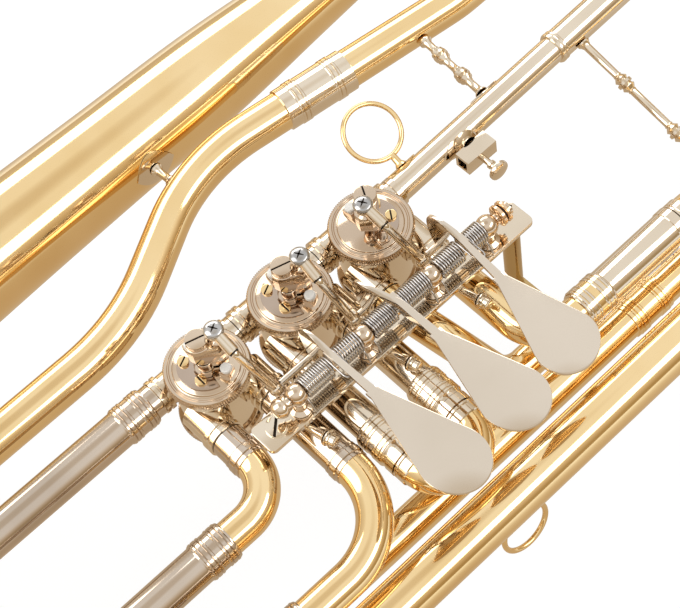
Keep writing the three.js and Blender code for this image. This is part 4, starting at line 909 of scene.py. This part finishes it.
def baluster(start, end, swells):
    span = Vector(end) - Vector(start)
    long = span.length
    line = [(0, 0), (2.8, 0), (2.8, 0.6), (2.2, 1.2), (1.7, 2.4)]
    for share in swells:
        h = share * long
        line += [(1.6, h - 4.6), (1.9, h - 4.2), (1.6, h - 3.8), (2.1, h - 3.2), (2.9, h - 2.2), (2.3, h - 1.3),
                 (2.2, h - 1.0), (3.2, h - 0.6), (3.2, h + 0.6), (2.2, h + 1.0), (2.3, h + 1.3), (2.9, h + 2.2),
                 (2.1, h + 3.2), (1.6, h + 3.8), (1.9, h + 4.2), (1.6, h + 4.6)]
    line += [(1.7, long - 2.4), (2.2, long - 1.2), (2.8, long - 0.6), (2.8, long), (0, long)]
    return turned(line, start, span, 40)


front_x, rear_x, bell_stay_x = 117.5, 160.5, 8
front_start, front_end = on_lead(front_x) + Vector((0, 6.5, 0)), Vector(on_slope(123)) + Vector((0, -9.2, 0))
piece("front_baluster", [baluster(front_start, front_end, (0.33, 0.72)),
                         saddle(on_lead(front_x), lead_way, lead_r, (0, 1, 0), 17, 9)],
      "horn", [nickel], ["brace_front"])
rear_start = on_lead(rear_x) + Vector((0, -7.1, 0))
rear_end = Vector((rear_x, tail_y + 0.97 * (middle_r + 0.9), tail_z + 0.23 * (middle_r + 0.9)))
piece("rear_baluster", [baluster(rear_start, rear_end, (0.28, 0.62))],
      "horn", [nickel], ["brace_rear"])
piece("bell_stay", [
    turned([(0, 0), (2.6, 0), (2.6, 0.6), (1.9, 1.4), (1.7, 2.6), (1.7, 7.6), (2, 8.6), (2.8, 9.6), (2.8, 10)],
           (bell_stay_x, bell_y - 31.9, bell_z + 4.4), (0, 0.99, -0.14), 40),
    saddle((bell_stay_x, bell_y, bell_z), (1, 0, 0), 21.3, (0, -1, 0.14), 19, 16)],
    "horn", [nickel], ["bell_post"])


# Two rings of round brass wire hold the fingers: one on the leadpipe, one under the last branch.
# Each stands on a short pin that is soldered to its own saddle.
def ring_line(centre, way, r, n=64):
    across = Vector((1, 0, 0))
    angles = [2 * math.pi * k / n for k in range(n)]
    return [Vector(centre) + (across * math.cos(a) + way * math.sin(a)) * r for a in angles]


ring_way = Vector((0, 0.89, 0.457)).normalized()
ring_foot, ring_out, finger_ring_r, ring_wire = on_lead(72), 23, 11.6, 1.0
piece("left_hand_ring", [
    swept(ring_line(ring_foot + ring_way * ring_out, ring_way, finger_ring_r), ring_wire, 20, closed=True),
    turned([(0, 0), (2.6, 0), (2.2, 0.6), (1.5, 1.6), (1.4, 5.4)], ring_foot + ring_way * 6.1, ring_way, 32),
    saddle(ring_foot, lead_way, lead_r, ring_way, 14, 9)], "horn", [brass], ["finger_ring"])
hook_way = Vector((0, -0.2, -0.98)).normalized()
hook_foot, hook_out, hook_r, hook_wire = Vector((8.6, last_y, last_z)), 22, 10.4, 1.1
piece("right_hand_ring", [
    swept(ring_line(hook_foot + hook_way * hook_out, hook_way, hook_r), hook_wire, 20, closed=True),
    turned([(0, 0), (2.8, 0), (2.3, 0.6), (1.7, 1.6)], hook_foot + hook_way * 10.2, hook_way, 32),
    saddle(hook_foot, (1, 0, 0), last_r, hook_way, 20, 9)], "horn", [brass], ["finger_hook"])


# A square nickel socket for a music lyre is soldered to the leadpipe on a round flange and a saddle.
# A thumb screw with a turned, knurled head closes it.
lyre_x, lyre_y, lyre_top = 96, 0.4, 6.4
lyre_way = Vector((0, -0.94, 0.34)).normalized()


def lyre_wall(x0, x1, y0, y1, z0, z1):
    return slab([(x0, y0), (x1, y0), (x1, y1), (x0, y1)], z0, z1, 0.18)


left, right_end = lyre_x - 7.5, lyre_x + 7.5
back_y, front_y = lyre_y - 3.6, lyre_y + 3.6
piece("lyre_holder", [
    lyre_wall(left, right_end, back_y, front_y, lyre_top - 1.4, lyre_top),
    lyre_wall(left, right_end, back_y, front_y, lyre_top - 7.4, lyre_top - 6),
    lyre_wall(left, right_end, back_y, lyre_y - 2.3, lyre_top - 6.2, lyre_top - 1.2),
    lyre_wall(left, right_end, lyre_y + 2.3, front_y, lyre_top - 6.2, lyre_top - 1.2),
    turned([(0, 0), (5.4, 0), (5.4, 0.8), (4.6, 1.2), (3.4, 1.6), (3.4, 3.2)],
           on_lead(lyre_x) + lyre_way * 6.1, lyre_way, 48),
    saddle(on_lead(lyre_x), lead_way, lead_r, lyre_way, 22, 10)], "horn", [nickel], ["lyre_socket"])
piece("lyre_thumb_screw", [turned(
    [(0, 0), (1.3, 0), (1.3, 5.1), (1.9, 5.2), (1.9, 6.2), (1.5, 6.6), (1.5, 7.4), (2.2, 8.2), (4.1, 8.7), (4.3, 9),
     (4.3, 10.1), (4.1, 10.5), (3.4, 10.8), (2.6, 11.1), (0, 11.1)],
    (lyre_x, lyre_y - 2.5, lyre_top - 3.7), (0, -1, 0), 80, 0, ({9, 10}, 0.15))],
    "lyre_screw", [nickel], ["lyre_screw"])


# The horn lies on a studio table covered with white paper, which runs on past the picture on all sides.
# To the camera and to the metal it shows as nearly pure white, and it keeps the horn's soft shadow.
floor_z = cad_box[0][2] - 0.0005
floor_mesh = bpy.data.meshes.new("table")
reach = 6
floor_mesh.from_pydata([(-reach, -reach, floor_z), (reach, -reach, floor_z), (reach, reach, floor_z),
                        (-reach, reach, floor_z)], [], [(0, 1, 2, 3)])
table = bpy.data.objects.new("table", floor_mesh)
bpy.context.scene.collection.objects.link(table)
table_paint = bpy.data.materials.new("white_table")
table_paint.use_nodes = True
tree = table_paint.node_tree
paint = tree.nodes["Principled BSDF"]
paint.inputs["Base Color"].default_value = (0.93, 0.93, 0.93, 1)
paint.inputs["Roughness"].default_value = 0.9


def background_rays(tree, x):
    path = node(tree, "ShaderNodeLightPath", (x - 400, 300))
    one = node(tree, "ShaderNodeMath", (x - 200, 300), operation="MAXIMUM")
    both = node(tree, "ShaderNodeMath", (x, 300), operation="MAXIMUM")
    tree.links.new(path.outputs["Is Camera Ray"], one.inputs[0])
    tree.links.new(path.outputs["Is Glossy Ray"], one.inputs[1])
    tree.links.new(one.outputs[0], both.inputs[0])
    tree.links.new(path.outputs["Is Transmission Ray"], both.inputs[1])
    return both.outputs[0]


glow = node(tree, "ShaderNodeEmission", (0, -200))
glow.inputs["Strength"].default_value = 0.9
shade = node(tree, "ShaderNodeBsdfDiffuse", (0, -350))
shade.inputs["Color"].default_value = (0.16, 0.16, 0.16, 1)
lit = node(tree, "ShaderNodeAddShader", (150, -250))
tree.links.new(glow.outputs["Emission"], lit.inputs[0])
tree.links.new(shade.outputs["BSDF"], lit.inputs[1])
choose = node(tree, "ShaderNodeMixShader", (300, 0))
tree.links.new(background_rays(tree, -100), choose.inputs["Fac"])
tree.links.new(paint.outputs["BSDF"], choose.inputs[1])
tree.links.new(lit.outputs["Shader"], choose.inputs[2])
tree.links.new(choose.outputs["Shader"], tree.nodes["Material Output"].inputs["Surface"])
floor_mesh.materials.append(table_paint)


# The studio is a white tent with two soft boxes and a strip light. Glowing screens that only the metal sees paint
# reflections on it: brown and grey bands near the horizon, a pale to grey top, and a brownish sheet under the horn as
# painted shade. These bands give polished tubes their shape.
world = bpy.data.worlds.new("studio")
bpy.context.scene.world = world
world.use_nodes = True
tree = world.node_tree
sky = tree.nodes["Background"]
sky.inputs["Strength"].default_value = 1.0
tent = node(tree, "ShaderNodeMix", (-200, 0), data_type="RGBA")
tree.links.new(background_rays(tree, -400), tent.inputs["Factor"])
tent.inputs["A"].default_value = (0.62, 0.62, 0.62, 1)
tent.inputs["B"].default_value = (1, 1, 1, 1)
tree.links.new(tent.outputs["Result"], sky.inputs["Color"])


# A screen is a glowing sheet that shows only in reflections: a painted reflection, shaded row by row from its colour
# attribute.
def screen(name, start, end, rows, n=64):
    verts, faces, shades = [], [], []
    for a in range(n + 1):
        turn = math.radians(start + (end - start) * a / n)
        for reach, rise, shade in rows:
            verts.append((reach * math.cos(turn), reach * math.sin(turn), rise))
            shades += [*shade, 1]
    for a in range(n):
        for b in range(len(rows) - 1):
            k = a * len(rows) + b
            faces.append((k, k + len(rows), k + len(rows) + 1, k + 1))
    mesh = bpy.data.meshes.new(name)
    mesh.from_pydata(verts, [], faces)
    mesh.color_attributes.new("shade", "FLOAT_COLOR", "POINT").data.foreach_set("color", shades)
    glow_paint = bpy.data.materials.new(name)
    glow_paint.use_nodes = True
    tree = glow_paint.node_tree
    band_shade = node(tree, "ShaderNodeAttribute", (-300, 0), attribute_name="shade")
    emit = node(tree, "ShaderNodeEmission", (0, 0))
    tree.links.new(band_shade.outputs["Color"], emit.inputs["Color"])
    tree.links.new(emit.outputs["Emission"], tree.nodes["Material Output"].inputs["Surface"])
    mesh.materials.append(glow_paint)
    hung = bpy.data.objects.new(name, mesh)
    bpy.context.scene.collection.objects.link(hung)
    for flag in ("visible_camera", "visible_diffuse", "visible_shadow", "visible_transmission"):
        setattr(hung, flag, False)


def hung_at(rise, shade, far=1.6):
    return far * math.cos(math.radians(rise)), far * math.sin(math.radians(rise)), shade


# The brown of the near bands is painted reflection, standing in for shade around the horn.
brown = (0.46, 0.34, 0.19)
screen("painted_reflection_near", -170, 10, [hung_at(-4, brown), hung_at(6, brown), hung_at(20, (0.72, 0.60, 0.46)),
                                  hung_at(34, (0.95, 0.91, 0.85)), hung_at(42, (1, 1, 1))])
screen("painted_reflection_far", 10, 190, [hung_at(-4, (0.62, 0.52, 0.40)), hung_at(8, (0.70, 0.62, 0.52)),
                                hung_at(30, (0.84, 0.78, 0.70)), hung_at(44, (1, 1, 1))])
screen("painted_reflection_top", 0, 360, [hung_at(66, (1, 1, 1)), hung_at(76, (0.80, 0.74, 0.66)), hung_at(90, (0.76, 0.70, 0.62))])
# The sheet under the horn is painted shade in the metal's reflections. It is browner near the middle and white at its
# edge.
under_shade_z = floor_z + 0.001
screen("painted_shade_under_horn", 0, 360, [(0, under_shade_z, (0.58, 0.45, 0.31)), (0.22, under_shade_z, (0.62, 0.50, 0.36)),
                               (0.45, under_shade_z, (0.90, 0.86, 0.80)), (0.6, under_shade_z, (1, 1, 1))])

for name, at, size, power in (("soft_box_left", (-0.9, 0.5, 0.9), (0.9, 1.4), 9),
                              ("soft_box_back", (0.5, 1.1, 0.7), (1.4, 0.6), 7),
                              ("soft_box_front", (0.6, -1.0, 0.9), (1.3, 0.5), 6)):
    lamp = bpy.data.lights.new(name, "AREA")
    lamp.shape = "RECTANGLE"
    lamp.size, lamp.size_y = size
    lamp.energy = power
    box = bpy.data.objects.new(name, lamp)
    bpy.context.scene.collection.objects.link(box)
    box.location = at
    box.rotation_euler = (-Vector(at)).to_track_quat("-Z", "Y").to_euler()

bpy.context.scene.view_settings.view_transform = "Standard"
